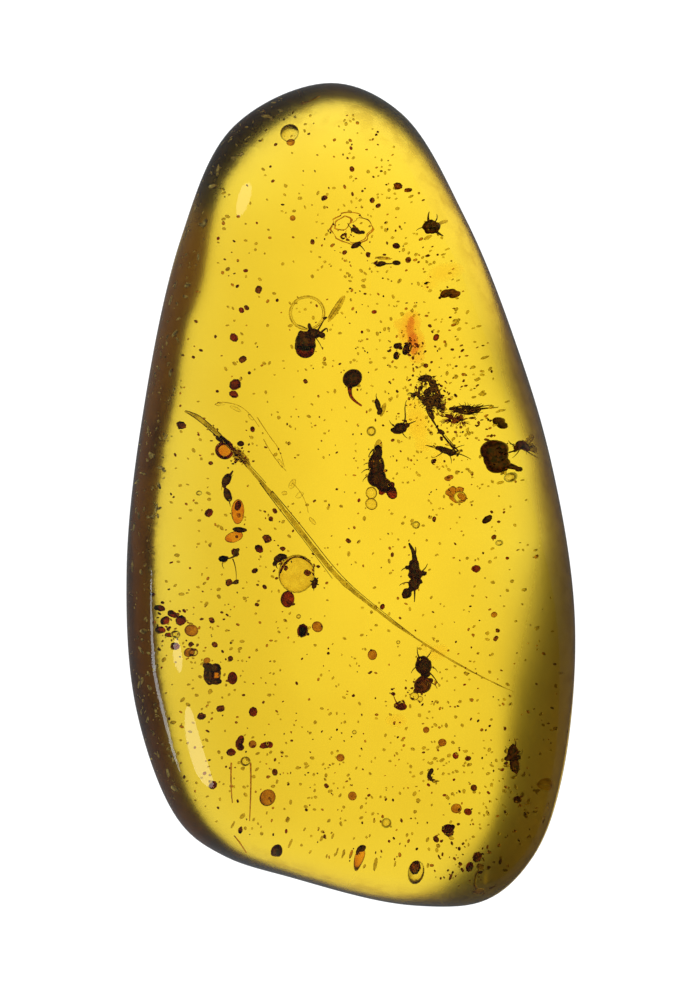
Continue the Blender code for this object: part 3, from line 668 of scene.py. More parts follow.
ant = {  # a dark head end over a rust-brown abdomen
    "antHead": {
        "look": "chitin", "rough": 0.8,
        "balls": [(0.0, 0.48, 0.98, 0.84, 92), (0.1, 0.02, 0.5, 0.34, 0), (-0.22, 0.8, 0.3, 0.24, 60)],
        "limbs": [
            (0.04, [(-0.2, 0.85), (-0.34, 1.1), (-0.3, 1.4)]),
            (0.035, [(0.15, 0.85), (0.36, 1.05), (0.42, 1.25)]),
            (0.04, [(0.3, 0.1), (0.56, -0.14), (0.78, -0.56, -0.1)]),
            (0.035, [(0.32, 0.4), (0.6, 0.4), (0.7, 0.14, -0.1)]),
            (0.035, [(-0.3, 0.4), (-0.52, 0.34), (-0.6, 0.08, -0.1)]),
        ],
    },
    "antAbdomen": {
        "look": "rustChitin", "rough": 0.9,
        "balls": [(-0.04, -0.5, 0.9, 0.84, 60), (0.28, -0.3, 0.4, 0.3, 0), (-0.3, -0.78, 0.4, 0.3, 20)],
        "limbs": [(0.035, [(0.3, -0.4), (0.56, -0.42), (0.66, -0.7, -0.1)])],
    },
}
growFind("ant", ant)

leafBeetle = {  # a round shell with a beaded feeler
    "leafBeetleShell": {
        "look": "chitin", "rough": 0.4,
        "balls": [(-0.1, 0.34, 0.98, 1.0, 0), (0.08, -0.36, 0.9, 0.84, -30), (-0.02, 0.0, 1.1, 0.86, 80)],
        "limbs": [(0.15, [(0.4, -0.42), (0.6, -0.52), (0.75, -0.62), (0.92, -0.76)])],
    },
    "leafBeetleFeeler": {
        "look": "chitin", "rough": 0.5,
        "balls": [
            (0.6, 0.26, 0.18, 0.14, 20), (0.78, 0.34, 0.16, 0.13, 20), (0.94, 0.38, 0.15, 0.12, 10),
            (1.08, 0.4, 0.13, 0.11, 0), (0.8, -0.66, 0.3, 0.24, -30),
        ],
        "limbs": [(0.04, [(0.4, 0.2), (0.7, 0.3), (1.1, 0.4)])],
    },
}
growFind("leaf_beetle", leafBeetle)

rimMidge = {  # hairy, half over the right edge
    "rimMidgeBody": {
        "look": "chitin",
        "balls": [
            (0.14, 0.02, 0.78, 0.44, -25), (-0.15, -0.05, 0.3, 0.26, 0), (0.42, -0.16, 0.34, 0.2, -20),
        ],
        "limbs": [
            (0.04, [(0.3, -0.1), (0.7, -0.28), (1.25, -0.34)]),
            (0.04, [(0.2, -0.15), (0.6, -0.46), (1.25, -0.56)]),
            (0.03, [(-0.2, 0.0), (-0.42, 0.12), (-0.5, 0.3)]),
            (0.03, [(0.0, -0.1), (-0.1, -0.4), (-0.3, -0.55)]),
        ],
        "fuzz": [((0.3, 0.0), (0.7, 0.4), 14)],
    },
    "rimMidgeWing": {
        "look": "skin", "rough": 0.6,
        "balls": [(0.62, 0.36, 0.95, 0.4, 30, 0.1), (0.75, -0.05, 1.0, 0.4, -14, 0.1)],
        "limbs": [(0.02, [(0.3, 0.2), (0.7, 0.45), (1.05, 0.5)])],
    },
}
growFind("rim_midge", rimMidge)

groundBeetle = {  # small, a leg out at each corner
    "groundBeetleBody": {
        "look": "chitin", "rough": 1.2,
        "balls": [(0.0, 0.0, 0.76, 0.52, -50), (0.05, -0.06, 0.56, 0.5, 40), (-0.1, 0.2, 0.34, 0.26, 60)],
        "limbs": [
            (0.05, [(-0.1, 0.2), (-0.2, 0.46), (-0.16, 0.72)]),
            (0.03, [(0.1, 0.2), (0.2, 0.42), (0.12, 0.6)]),
            (0.06, [(0.15, -0.2), (0.34, -0.4), (0.48, -0.5)]),
            (0.03, [(-0.2, 0.0), (-0.42, 0.05), (-0.5, -0.1)]),
        ],
    },
    "groundBeetleWing": {"look": "skin", "rough": 0.5, "balls": [(0.42, 0.18, 0.5, 0.2, 20, 0.08)]},
}
growFind("ground_beetle", groundBeetle)

gallGnat = {  # two dark ends and a thin waist
    "gallGnatBody": {
        "look": "chitin",
        "balls": [(-0.35, -0.02, 0.54, 0.28, 5), (0.38, 0.0, 0.38, 0.24, -10)],
        "limbs": [
            (0.05, [(-0.3, 0.0), (0.0, -0.06), (0.36, -0.01)]),
            (0.03, [(-0.5, 0.0), (-0.66, 0.06), (-0.78, 0.0)]),
        ],
    },
    "gallGnatWing": {
        "look": "skin", "rough": 0.5,
        "balls": [(-0.22, 0.24, 0.82, 0.2, -8, 0.08)],
        "limbs": [(0.03, [(-0.62, 0.24), (-0.25, 0.36), (0.2, 0.2)])],
    },
}
growFind("gall_gnat", gallGnat)

amberGnat = {  # its belly swollen with resin; the torus is the dark line round it
    "amberGnatHead": {
        "look": "chitin",
        "balls": [(-0.1, 0.42, 0.5, 0.36, -30), (0.05, 0.3, 0.42, 0.3, -40), (0.74, 0.22, 0.34, 0.3, 20)],
        "limbs": [
            (0.04, [(0.1, 0.34), (0.3, 0.3), (0.35, 0.1)]),
            (0.03, [(-0.2, 0.45), (-0.4, 0.7), (-0.62, 0.9)]),
        ],
    },
    "amberGnatAbdomen": {"look": "orange", "rough": 0.3, "balls": [(0.03, -0.15, 0.78, 0.66, 88)]},
    "Torus": {"look": "cherry", "rings": [(0.03, -0.15, 0.62, 0.7, 0, 0.09)]},
    "amberGnatWing": {
        "look": "skin", "rough": 1.0,
        "balls": [(0.8, -0.42, 1.2, 0.36, -54, 0.1), (0.56, -0.1, 0.5, 0.3, -40, 0.1)],
    },
}
growFind("amber_gnat", amberGnat)

threadWasp = {  # long and thin, above the orange drops
    "threadWaspBody": {
        "look": "chitin", "rough": 0.7,
        "balls": [
            (0.0, 0.34, 0.68, 0.4, 66), (0.04, -0.42, 0.72, 0.38, 106), (-0.12, 0.06, 0.3, 0.2, 100),
        ],
        "limbs": [
            (0.09, [(0.1, 0.5), (0.2, 0.62), (0.3, 0.8)]),
            (0.03, [(0.1, -0.7), (0.14, -0.85), (0.16, -1.0)]),
            (0.02, [(-0.1, 0.3), (-0.22, 0.1), (-0.24, -0.2)]),
            (0.02, [(0.1, 0.4), (0.22, 0.46), (0.3, 0.6)]),
        ],
    },
}
growFind("thread_wasp", threadWasp)

longMidge = {  # a fallen stalk runs up from it to the splinter
    "longMidgeBody": {
        "look": "chitin", "rough": 1.2,
        "balls": [
            (0.02, 0.0, 1.15, 0.32, -15), (-0.36, 0.14, 0.44, 0.28, -10), (0.24, -0.08, 0.4, 0.34, 30),
            (-0.28, 0.96, 0.42, 0.22, -30),
        ],
        "limbs": [
            (0.05, [(-0.5, 0.15), (-0.8, 0.26), (-1.05, 0.3)]),
            (0.035, [(0.2, 0.0), (0.5, 0.22), (0.8, 0.28)]),
            (0.035, [(0.4, -0.1), (0.8, -0.2), (1.08, -0.42)]),
            (0.03, [(0.05, -0.05), (0.26, -0.36), (0.22, -0.62)]),
            (0.03, [(-0.15, 0.0), (-0.4, -0.28), (-0.7, -0.34)]),
        ],
    },
    "longMidgeStalk": {
        "look": "wood",
        "limbs": [
            (0.06, [(0.38, 0.06), (0.0, 0.5), (-0.4, 1.1), (-0.75, 1.56)]),
            (0.04, [(0.6, -0.1), (0.3, 0.3), (-0.1, 0.8)]),
        ],
    },
    "longMidgeCurl": {
        "look": "redGrain",
        "balls": [(-0.6, -0.5, 0.26, 0.18, 40)],
        "limbs": [(0.04, [(-0.5, -0.42), (-0.72, -0.4), (-0.75, -0.62), (-0.55, -0.68)])],
    },
}
growFind("long_midge", longMidge)

print("larger insects grown")

smallInsects = {  # by the node that each stands for
    "winged_aphid": {
        "aphidBody": {
            "look": "chitin", "rough": 1.2,
            "balls": [(-0.08, 0.12, 0.66, 0.3, 105), (0.02, -0.2, 0.4, 0.26, 70)],
            "limbs": [(0.03, [(-0.1, 0.4), (-0.2, 0.55), (-0.14, 0.7)])],
        },
        "aphidWing": {"look": "skin", "rough": 0.6, "balls": [(0.18, -0.12, 0.78, 0.28, 70, 0.08)]},
    },
    "mite": {
        "miteBody": {
            "look": "chitin", "rough": 1.3,
            "balls": [
                (0.0, 0.0, 0.74, 0.56, 15), (-0.26, -0.1, 0.42, 0.34, 0), (0.3, 0.12, 0.36, 0.26, 30),
                (0.27, 0.36, 0.16, 0.14, 0),
            ],
            "limbs": [
                (0.045, [(0.1, 0.1), (0.26, 0.42), (0.24, 0.8), (0.22, 1.1), (0.3, 1.4)]),
                (0.05, [(0.2, 0.1), (0.5, 0.26), (0.78, 0.36)]),
                (0.03, [(-0.3, 0.1), (-0.5, 0.22), (-0.54, 0.4)]),
                (0.03, [(0.1, -0.2), (0.2, -0.42), (0.36, -0.5)]),
            ],
        },
    },
    "scale_insect": {
        "scaleInsectShell": {
            "look": "chitin", "rough": 1.0,
            "balls": [
                (-0.06, 0.08, 0.62, 0.4, 35), (-0.26, -0.16, 0.36, 0.24, 70), (0.18, 0.16, 0.3, 0.28, 0),
            ],
            "limbs": [(0.04, [(-0.2, -0.2), (-0.24, -0.36), (-0.12, -0.44)])],
        },
    },
    "springtail": {
        "springtailBody": {
            "look": "chitin", "rough": 1.4,
            "balls": [(0.0, 0.02, 0.48, 0.42, 0), (0.04, -0.2, 0.34, 0.26, 80)],
            "limbs": [
                (0.06, [(0.1, 0.08), (0.24, 0.2)]), (0.06, [(-0.1, 0.05), (-0.3, 0.1)]),
                (0.05, [(0.12, -0.1), (0.28, -0.16)]), (0.04, [(0.0, -0.2), (0.02, -0.46)]),
            ],
        },
    },
    "larva": {
        "larvaSkin": {
            "look": "chitin", "rough": 2.2,
            "balls": [
                (-0.02, 0.42, 0.72, 0.4, 80), (0.06, -0.2, 0.9, 0.44, 98), (-0.16, 0.1, 0.4, 0.3, 20),
                (0.2, 0.1, 0.3, 0.2, 60),
            ],
            "limbs": [
                (0.05, [(0.05, 0.6), (0.16, 0.8), (0.1, 0.95)]),
                (0.04, [(0.1, -0.4), (0.2, -0.6), (0.12, -0.8)]),
            ],
            "fuzz": [((0.0, 0.1), (0.42, 0.7), 14)],
        },
    },
    "moult_skin": {
        "moultSkinRag": {
            "look": "brownChitin", "rough": 1.8,
            "balls": [
                (0.18, 0.12, 0.5, 0.24, 70), (-0.42, -0.2, 0.44, 0.26, 10), (0.16, -1.36, 0.34, 0.24, 40),
            ],
            "limbs": [
                (0.06, [(0.15, 0.0), (-0.05, -0.22), (-0.4, -0.2)]),
                (0.03, [(0.0, -0.2), (0.2, -0.7), (0.16, -1.3)]),
                (0.03, [(-0.4, -0.2), (-0.56, -0.5), (-0.4, -0.7)]),
            ],
        },
    },
    "pill_beetle": {
        "pillBeetleShell": {
            "look": "chitin", "rough": 1.1,
            "balls": [
                (-0.14, 0.05, 1.12, 0.5, 92), (0.12, 0.34, 0.5, 0.46, 0), (0.14, -0.32, 0.5, 0.36, 0),
                (-0.3, 0.5, 0.3, 0.26, 60), (0.28, 0.05, 0.5, 0.16, 88),
            ],
        },
        "pillBeetleBelly": {
            "look": "orange", "rough": 0.4, "lift": 0.2,
            "balls": [(0.14, -0.02, 0.34, 0.3, 0)],
        },
    },
    "wing_membrane": {
        "membraneRim": {
            "look": "brownDrop", "ragged": 0.7,
            "rings": [
                (0.2, 0.0, 1.9, 1.5, -12, 0.03), (-0.2, 0.25, 0.8, 0.6, 30, 0.03),
                (0.55, -0.1, 1.3, 1.0, 50, 0.02),
            ],
        },
        "membraneScraps": {
            "look": "chitin", "rough": 1.8,
            "balls": [
                (0.4, -0.1, 0.5, 0.3, -30), (0.62, -0.2, 0.4, 0.2, 0), (0.42, -0.8, 0.56, 0.26, 30),
            ],
            "limbs": [
                (0.03, [(0.3, -0.1), (0.1, 0.05), (0.0, 0.25)]),
                (0.04, [(0.5, -0.75), (0.7, -0.85), (0.85, -1.1)]),
            ],
        },
    },
}
for node, pieces in smallInsects.items():
    growFind(node, pieces)
print("small insects grown")

woodScraps = {  # by the node that each stands for
    "wood_splinter": {
        "woodSplinterCore": {
            "look": "wood", "rough": 2.6,
            "balls": [
                (-0.25, 1.08, 0.7, 0.34, 5), (0.1, 0.85, 0.4, 0.3, 30), (0.32, 0.5, 0.8, 0.26, -65),
                (0.0, -0.08, 0.86, 0.5, -10), (-0.7, 0.3, 0.5, 0.26, 20), (-0.45, 0.62, 0.4, 0.2, 60),
                (0.03, -0.64, 0.8, 0.3, -68), (0.5, -0.3, 0.6, 0.3, -30), (0.35, 0.1, 0.6, 0.24, -40),
                (-0.4, 0.1, 0.5, 0.24, -20), (-0.05, 0.45, 0.6, 0.36, 40),
            ],
            "limbs": [
                (0.05, [(-0.8, 0.28), (-1.0, 0.42), (-1.1, 0.3)]),
                (0.04, [(0.1, -0.9), (0.3, -1.2), (0.4, -1.5)]),
            ],
            "fuzz": [
                ((-0.2, 1.0), (0.5, 0.36), 24), ((0.1, 0.1), (0.7, 0.6), 40),
                ((0.3, -0.4), (0.6, 0.5), 24), ((-0.7, 0.3), (0.4, 0.3), 12),
            ],
        },
        "woodSplinterRust": {
            "look": "redGrain", "rough": 2.0,
            "balls": [
                (0.95, -0.85, 0.5, 0.2, -30), (1.2, -1.1, 0.4, 0.18, 10), (1.45, -1.0, 0.3, 0.16, 40),
            ],
            "fuzz": [((1.1, -0.95), (0.6, 0.35), 40), ((1.5, -1.1), (0.4, 0.3), 16)],
        },
    },
    "bark_shred": {
        "barkShredBody": {
            "look": "brownChitin", "rough": 1.8,
            "balls": [
                (0.0, 0.0, 0.98, 0.46, -12), (-0.5, 0.1, 0.4, 0.24, -10), (0.4, -0.06, 0.4, 0.3, 0),
            ],
            "limbs": [
                (0.05, [(0.3, -0.03), (0.65, 0.0), (1.0, -0.06)]),
                (0.04, [(0.3, 0.05), (0.6, 0.12), (0.85, 0.1)]),
                (0.04, [(-0.1, -0.05), (-0.22, -0.35), (-0.34, -0.65)]),
            ],
            "fuzz": [((0.0, 0.0), (0.7, 0.36), 30)],
        },
    },
}
for node, pieces in woodScraps.items():
    growFind(node, pieces)
print("wood scraps grown")

seedsAndCrumbs = {  # by the node that each stands for
    "black_seed": {
        "blackSeed": {
            "look": "chitin", "rough": 1.6,
            "balls": [
                (0.0, 0.0, 0.6, 0.42, 60), (-0.5, -0.3, 0.44, 0.3, 70), (-0.46, 0.2, 0.46, 0.3, 20),
                (0.1, 0.26, 0.3, 0.2, 0),
            ],
        },
    },
    "bean_seed": {
        "beanSeed": {
            "look": "rustChitin", "rough": 0.8,
            "balls": [
                (-0.15, 0.04, 0.38, 0.4, 20), (0.15, -0.04, 0.4, 0.36, -20), (0.0, 0.08, 0.44, 0.32, 0),
            ],
        },
    },
    "frass_cluster": {
        "frassCluster": {
            "look": "brownDrop", "rough": 1.6,
            "balls": [
                (-0.1, 0.1, 0.6, 0.4, 40), (0.12, -0.22, 0.66, 0.5, -20), (0.26, 0.18, 0.4, 0.3, 0),
                (-0.2, 0.76, 0.44, 0.28, 20),
            ],
        },
    },
    "angular_seed": {
        "angularSeed": {
            "look": "chitin", "rough": 1.0,
            "balls": [(0.0, 0.0, 0.54, 0.3, 45), (0.06, 0.06, 0.3, 0.28, 0)],
        },
    },
    "dark_seed": {
        "darkSeed": {
            "look": "brownChitin", "rough": 0.8,
            "balls": [(-0.05, 0.1, 0.42, 0.26, -65), (0.05, -0.1, 0.4, 0.2, -65)],
        },
    },
    "bract_curl": {
        "bractCurl": {
            "look": "chitin", "rough": 0.8,
            "balls": [
                (-0.06, 0.14, 0.44, 0.26, 60), (-0.1, -0.14, 0.4, 0.24, 120),
                (0.1, -0.3, 0.26, 0.18, 150),
            ],
        },
    },
    "low_seed": {
        "lowSeed": {
            "look": "cherry", "rough": 0.6,
            "balls": [(0.0, 0.0, 0.62, 0.44, 15), (0.2, 0.1, 0.3, 0.24, 0)],
        },
    },
    "burnt_seed": {
        "burntSeed": {
            "look": "chitin", "rough": 0.8,
            "balls": [(0.0, 0.0, 0.6, 0.42, -10), (-0.16, -0.06, 0.3, 0.3, 0)],
        },
    },
    "bark_crumb": {
        "barkCrumb": {
            "look": "cherry", "rough": 1.2,
            "balls": [(0.0, 0.04, 0.66, 0.36, 70), (0.06, -0.26, 0.34, 0.3, 0)],
        },
    },
    "leaf_crumb": {
        "leafCrumb": {
            "look": "cherry", "rough": 1.2,
            "balls": [(0.0, 0.0, 0.66, 0.32, 15), (0.24, 0.0, 0.24, 0.3, 0)],
        },
    },
    "scale_flake": {
        "scaleFlake": {
            "look": "chitin", "rough": 0.9,
            "balls": [(-0.08, 0.06, 0.5, 0.4, 40), (0.1, -0.16, 0.42, 0.22, -20)],
        },
    },
    "cherry_bead": {
        "cherryBead": {"look": "cherry", "rough": 0.3, "balls": [(0.0, 0.0, 0.86, 0.7, 85)]},
    },
    "small_cherry_bead": {
        "smallCherryBead": {"look": "cherry", "rough": 0.4, "balls": [(0.0, 0.0, 0.65, 0.45, 88)]},
    },
    "rim_crumbs": {
        "rimCrumbsHeap": {
            "look": "cherry", "rough": 1.4,
            "balls": [
                (-0.35, 0.62, 0.5, 0.3, -20), (0.15, 0.34, 0.44, 0.3, -40), (-0.14, 0.02, 0.46, 0.36, 60),
                (-0.33, -0.46, 0.4, 0.36, 0), (0.05, -0.7, 0.3, 0.24, 0),
            ],
        },
    },
    "cherry_seed": {
        "cherrySeedHusk": {
            "look": "cherry", "rough": 0.8,
            "balls": [(0.0, 0.0, 0.68, 0.42, -10), (-0.35, 0.62, 0.24, 0.2, 0)],
            "limbs": [(0.04, [(-0.1, 0.08), (-0.3, 0.3), (-0.35, 0.65)])],
        },
    },
}
for node, pieces in seedsAndCrumbs.items():
    growFind(node, pieces)
print("seeds and crumbs grown")

resinDrops = {  # by the node that each stands for
    "resin_drop": {
        "resinDropFlow": {"look": "orange", "rough": 0.4, "balls": [(0.0, 0.0, 1.27, 0.62, 88)]},
        "resinDropCore": {
            "look": "cherry", "rough": 0.6, "lift": 0.1,
            "balls": [(0.0, 0.3, 0.52, 0.3, 80)],
        },
    },
    "capped_drop": {
        "cappedDropFlow": {"look": "orange", "rough": 0.4, "balls": [(-0.12, -0.12, 0.88, 0.54, 20)]},
        "cappedDropCap": {"look": "chitin", "lift": 0.2, "balls": [(0.15, 0.24, 0.7, 0.28, -5)]},
    },
    "capped_bead": {
        "cappedBeadFlow": {"look": "orange", "rough": 0.4, "balls": [(0.0, -0.04, 0.5, 0.42, 0)]},
        "cappedBeadCap": {
            "look": "chitin", "rough": 0.8, "lift": 0.2,
            "balls": [(0.02, 0.14, 0.44, 0.2, 0), (-0.14, 0.06, 0.2, 0.2, 0)],
        },
    },
}
for node, pieces in resinDrops.items():
    growFind(node, pieces)
print("resin drops grown")

fibreShape = {  # millimetres
    "height": 4.35,
    "route": [
        (-7.65, 4.1), (-7.25, 3.95), (-6.85, 3.55), (-6.3, 3.0), (-5.3, 1.7), (-4.3, 0.5), (-2.45, -1.85),
        (-0.75, -4.15), (1.0, -5.55), (3.25, -7.25), (6.15, -9.0), (7.9, -9.9)],
    "halfWidth": [0.05, 0.1, 0.11, 0.09, 0.07, 0.09, 0.11, 0.12, 0.08, 0.05, 0.035, 0.02],
    "flatness": 0.4,
    "lumpSize": 0.5, "lumpHeight": 0.08,
    "frayHeight": 4.4,
    "fray": [(-5.95, 2.55, 0.6, 0.3, -50), (-5.5, 1.95, 0.75, 0.45, -60), (-5.15, 1.7, 0.4, 0.26, 20)],
    "frayThickness": 0.12, "frayRough": 2.0,
    "hairsAt": (-5.5, 1.95, 4.5), "hairReach": (0.5, 0.5), "hairs": 9, "hairRadius": 0.014,
}


def buildFibre(shape):
    points = [(x, y, shape["height"] / shape["flatness"]) for x, y in shape["route"]]
    fibre = addStrand(points, shape["halfWidth"], sides=3, steps=12, order=4)
    fibre.name = "plantFibreStrand"
    fibre.scale = (1.0, 1.0, shape["flatness"])
    bakePlace(fibre)
    applyModifier(fibre, "DISPLACE", texture=lumpyTexture(shape["lumpSize"]), texture_coords="LOCAL",
                  strength=shape["lumpHeight"], mid_level=0.5)
    finishPiece(fibre, looks["fibre"], ["plant_fibre"])


def buildFray(shape):
    tufts = []
    for x, y, length, width, turn in shape["fray"]:
        ball = (0.0, 0.0, length, width, turn, shape["frayThickness"])
        tufts.append(growBody((x, y, shape["frayHeight"]), [ball], shape["frayRough"]))
    tufts += growHairs(shape["hairsAt"], (0.0, 0.0), shape["hairReach"], shape["hairs"],
                       shape["hairRadius"])
    finishPiece(joinAll(tufts, "fibreFray"), looks["skin"])


buildFibre(fibreShape)
buildFray(fibreShape)
print("plant fibre laid")

grainShape = {  # what the strewn grains are copied from
    "kinds": 5,
    "roughFacets": (8, 6), "smoothFacets": (20, 12),
    "apart": 3.0,  # so that each is pushed about differently
    "lumpSize": 0.8,
    "flatness": 0.8,
    "widthLost": 0.5,  # share of a grain's stretch that its width gives up
}
rayStart = {"above": 0.03, "below": -0.01}  # metres, clear of the stone
steepestSeen = 0.7  # upright share of the dome's normal, past which nothing is set


# Where a line straight down, or up from under, meets the stone: place in millimetres and normal
def stoneSurface(x, y, start="above"):
    source = (x * millimetre, y * millimetre, rayStart[start])
    way = (0.0, 0.0, -1.0 if start == "above" else 1.0)
    hit, place, normal, _ = pebble.ray_cast(source, way)
    return (place / millimetre, normal) if hit else (None, None)


# Where a thing at height z lies when the dome shows it at x, y
def underDome(x, y, z):
    place, normal = stoneSurface(x, y)
    if not place or normal.z < steepestSeen:
        return None
    slow = 1 / amberLook["ior"]
    bend = slow * normal.z - math.sqrt(1 - slow ** 2 * (1 - normal.z ** 2))
    bent = Vector((0.0, 0.0, -slow)) + normal * bend
    travel = (z - place.z) / bent.z
    return x + bent.x * travel, y + bent.y * travel, z


def grainKinds(rough):
    segments, rings = grainShape["roughFacets" if rough else "smoothFacets"]
    kinds = []
    for index in range(grainShape["kinds"]):
        bpy.ops.object.select_all(action="DESELECT")
        bpy.ops.mesh.primitive_uv_sphere_add(
            segments=segments, ring_count=rings, radius=1.0,
            location=(grainShape["apart"] * index, 0.0, 0.0))
        grain = bpy.context.object
        if rough:
            applyModifier(grain, "DISPLACE", texture=lumpyTexture(grainShape["lumpSize"]),
                          texture_coords="GLOBAL", strength=rough, mid_level=0.5)
        grain.location = (0.0, 0.0, 0.0)
        kinds.append(grain)
    return kinds


# One piece from many grains: x, y, z and radius each
def scatterGrains(name, look, spots, rough, stretch):
    kinds = grainKinds(rough)
    copies = []
    for x, y, z, radius in spots:
        grain = chance.choice(kinds).copy()
        grain.data = grain.data.copy()
        bpy.context.scene.collection.objects.link(grain)
        grain.location = (x, y, z)
        grain.rotation_euler = (0.0, 0.0, chance.uniform(0.0, 6.28))
        longer = chance.uniform(0, stretch)
        thinner = chance.uniform(0, stretch) * grainShape["widthLost"]
        grain.scale = (radius * (1 + longer), radius * (1 - thinner), radius * grainShape["flatness"])
        copies.append(grain)
    joined = joinAll(copies, name)
    bakePlace(joined)
    for kind in kinds:
        bpy.data.objects.remove(kind)
    finishPiece(joined, looks[look])


foundSpots = {  # seen from above: x, y and radius in millimetres
    "darkBeads": {
        "look": "crumb", "size": 0.82, "rough": 0.9, "stretch": 0.25,
        "spots": [
            (-3.4, -2.7, 0.15), (-4.2, -2.2, 0.25), (-4.0, -1.2, 0.15), (-3.8, -0.8, 0.15),
            (-4.3, -4.6, 0.15), (-4.7, -5.5, 0.13), (-8.5, 3.5, 0.25), (-5.4, 6.8, 0.23),
            (-4.6, 10.3, 0.23), (-2.25, 5.7, 0.15), (-7, 1.6, 0.13), (-5.2, 9.4, 0.15), (-3.9, 15.8, 0.1),
            (-1.9, 12.7, 0.15), (-0.3, 12.2, 0.15), (0.1, 16.4, 0.15), (1.1, 14.8, 0.15),
            (1.4, 14.5, 0.15), (2.4, 15.5, 0.2), (2.9, 15.3, 0.15), (2.6, 18.1, 0.15), (2.9, 11.8, 0.18),
            (0.9, 12.1, 0.15), (6.4, 11.2, 0.15), (3.8, 6.5, 0.15), (4.2, -1.2, 0.15), (-0.1, -2.3, 0.15),
            (2.1, -3, 0.13), (7.2, -2.1, 0.15), (7.3, -7.2, 0.15), (-1.2, -14.6, 0.15),
            (-5.5, -16.8, 0.15), (6.4, -18.2, 0.25), (6.4, -20, 0.23), (5.9, -20.5, 0.2),
            (-7.5, -11.1, 0.2), (-6.5, -10.7, 0.23), (-3.8, -13.9, 0.2), (-8, -7.5, 0.15),
            (-7, -6.3, 0.18), (-6.8, -7.5, 0.2), (-6, -8.2, 0.15), (-6.4, -3.2, 0.25), (-6.1, -4.4, 0.2),
            (6.2, -14.7, 0.2), (4.9, -16.9, 0.3), (4.3, -17.3, 0.2), (1.1, -19.3, 0.15),
            (1.9, -20.5, 0.3), (3.25, -18.75, 0.27), (8.4, -15.3, 0.23), (7.4, -6.8, 0.12),
            (-2.2, -3.9, 0.2),
        ],
    },
    "cherryBeads": {
        "look": "cherry", "size": 1.0, "rough": 0.35, "stretch": 0.25,
        "spots": [
            (-4.6, -2.7, 0.2), (-4.8, -3.8, 0.15), (-7.1, -0.9, 0.2), (-5.85, 7.9, 0.2),
            (-5.8, 5.55, 0.26), (-5.85, 5.05, 0.2), (-5.5, 9.3, 0.13), (-1.3, 14.9, 0.14),
            (-5.3, 11.3, 0.1), (2.3, 12.5, 0.15), (6.3, -3.7, 0.2), (-2.4, -6.8, 0.3), (5.9, -15.9, 0.18),
            (6, -18.7, 0.2), (-5.8, -2.9, 0.2), (-6, -12.9, 0.2), (-4.9, -10.9, 0.25),
            (-6.9, -14.6, 0.18), (4.3, 7.9, 0.16), (1.2, 9.2, 0.12), (-4.9, 3.3, 0.14),
            (5.3, -13.1, 0.15), (5.9, -13.2, 0.15), (1.6, -5.6, 0.14), (-8.5, -6.3, 0.25),
            (-8.8, -7.6, 0.2),
        ],
    },
    "brownDropBeads": {
        "look": "brownDrop", "size": 1.0, "rough": 0.0, "stretch": 0.1,
        "spots": [
            (-4.2, -15.25, 0.38), (-1.65, -6.6, 0.27), (1.1, -8, 0.25), (3.8, -11.8, 0.16),
            (-0.5, -13.2, 0.2), (0.1, -15.1, 0.22), (5.3, -15.7, 0.25), (-2.9, 13.9, 0.14),
            (-3.0, 17.75, 0.2), (-4.9, -12.5, 0.2), (7.2, -6, 0.15), (3.4, -20.5, 0.3), (1.6, -19.6, 0.2),
            (4.6, -12.4, 0.2), (-8, -6.8, 0.3), (-8.1, -7.9, 0.24), (-7.2, -8.3, 0.16),
        ],
    },
    "gasBeads": {
        "look": "gas", "size": 1.0, "rough": 0.0, "stretch": 0.1,
        "spots": [
            (1.05, 0.1, 0.3), (1.05, -0.45, 0.3), (5.5, -0.1, 0.3), (-3.05, 18.2, 0.45), (3.3, -19, 0.4),
            (3.2, -10.1, 0.22), (3.5, -10.25, 0.16),
        ],
    },
    "wideGasBeads": {
        "look": "wideGas", "size": 1.0, "rough": 0.0, "stretch": 0.1,
        "spots": [(-2.7, -3.95, 0.92)],
    },
    "tinyGasBeads": {
        "look": "tinyGas", "size": 1.0, "rough": 0.0, "stretch": 0.1,
        "spots": [
            (1.05, 3.2, 0.25), (3.3, -1.5, 0.2), (7.5, -2.4, 0.17), (10.5, -5.7, 0.25), (10.5, -2.4, 0.2),
            (8.1, 0.9, 0.25), (-5.3, -13.4, 0.23), (1.8, -16.5, 0.24), (-6.1, 18.0, 0.1),
            (5.9, 12.6, 0.12), (-7.9, -7.9, 0.22), (-8.8, -7.0, 0.2), (6.3, 10.9, 0.1),
            (-2.6, -6.1, 0.12), (2.4, -7.4, 0.1), (-7.6, 0.1, 0.13), (0.2, -11.9, 0.12),
        ],
    },
}
foundDepth = {"nearRim": 5.2, "rimStarts": (7, 17), "elsewhere": (4.2, 5.8)}


def placeFoundSpots():
    acrossRim, alongRim = foundDepth["rimStarts"]
    for name, kind in foundSpots.items():
        placed = []
        for x, y, radius in kind["spots"]:
            if abs(x) > acrossRim or abs(y) > alongRim:
                height = foundDepth["nearRim"]
            else:
                height = chance.uniform(*foundDepth["elsewhere"])
            place = underDome(x, y, height)
            if place:
                placed.append(place + (radius * kind["size"],))
        scatterGrains(name, kind["look"], placed, kind["rough"], kind["stretch"])


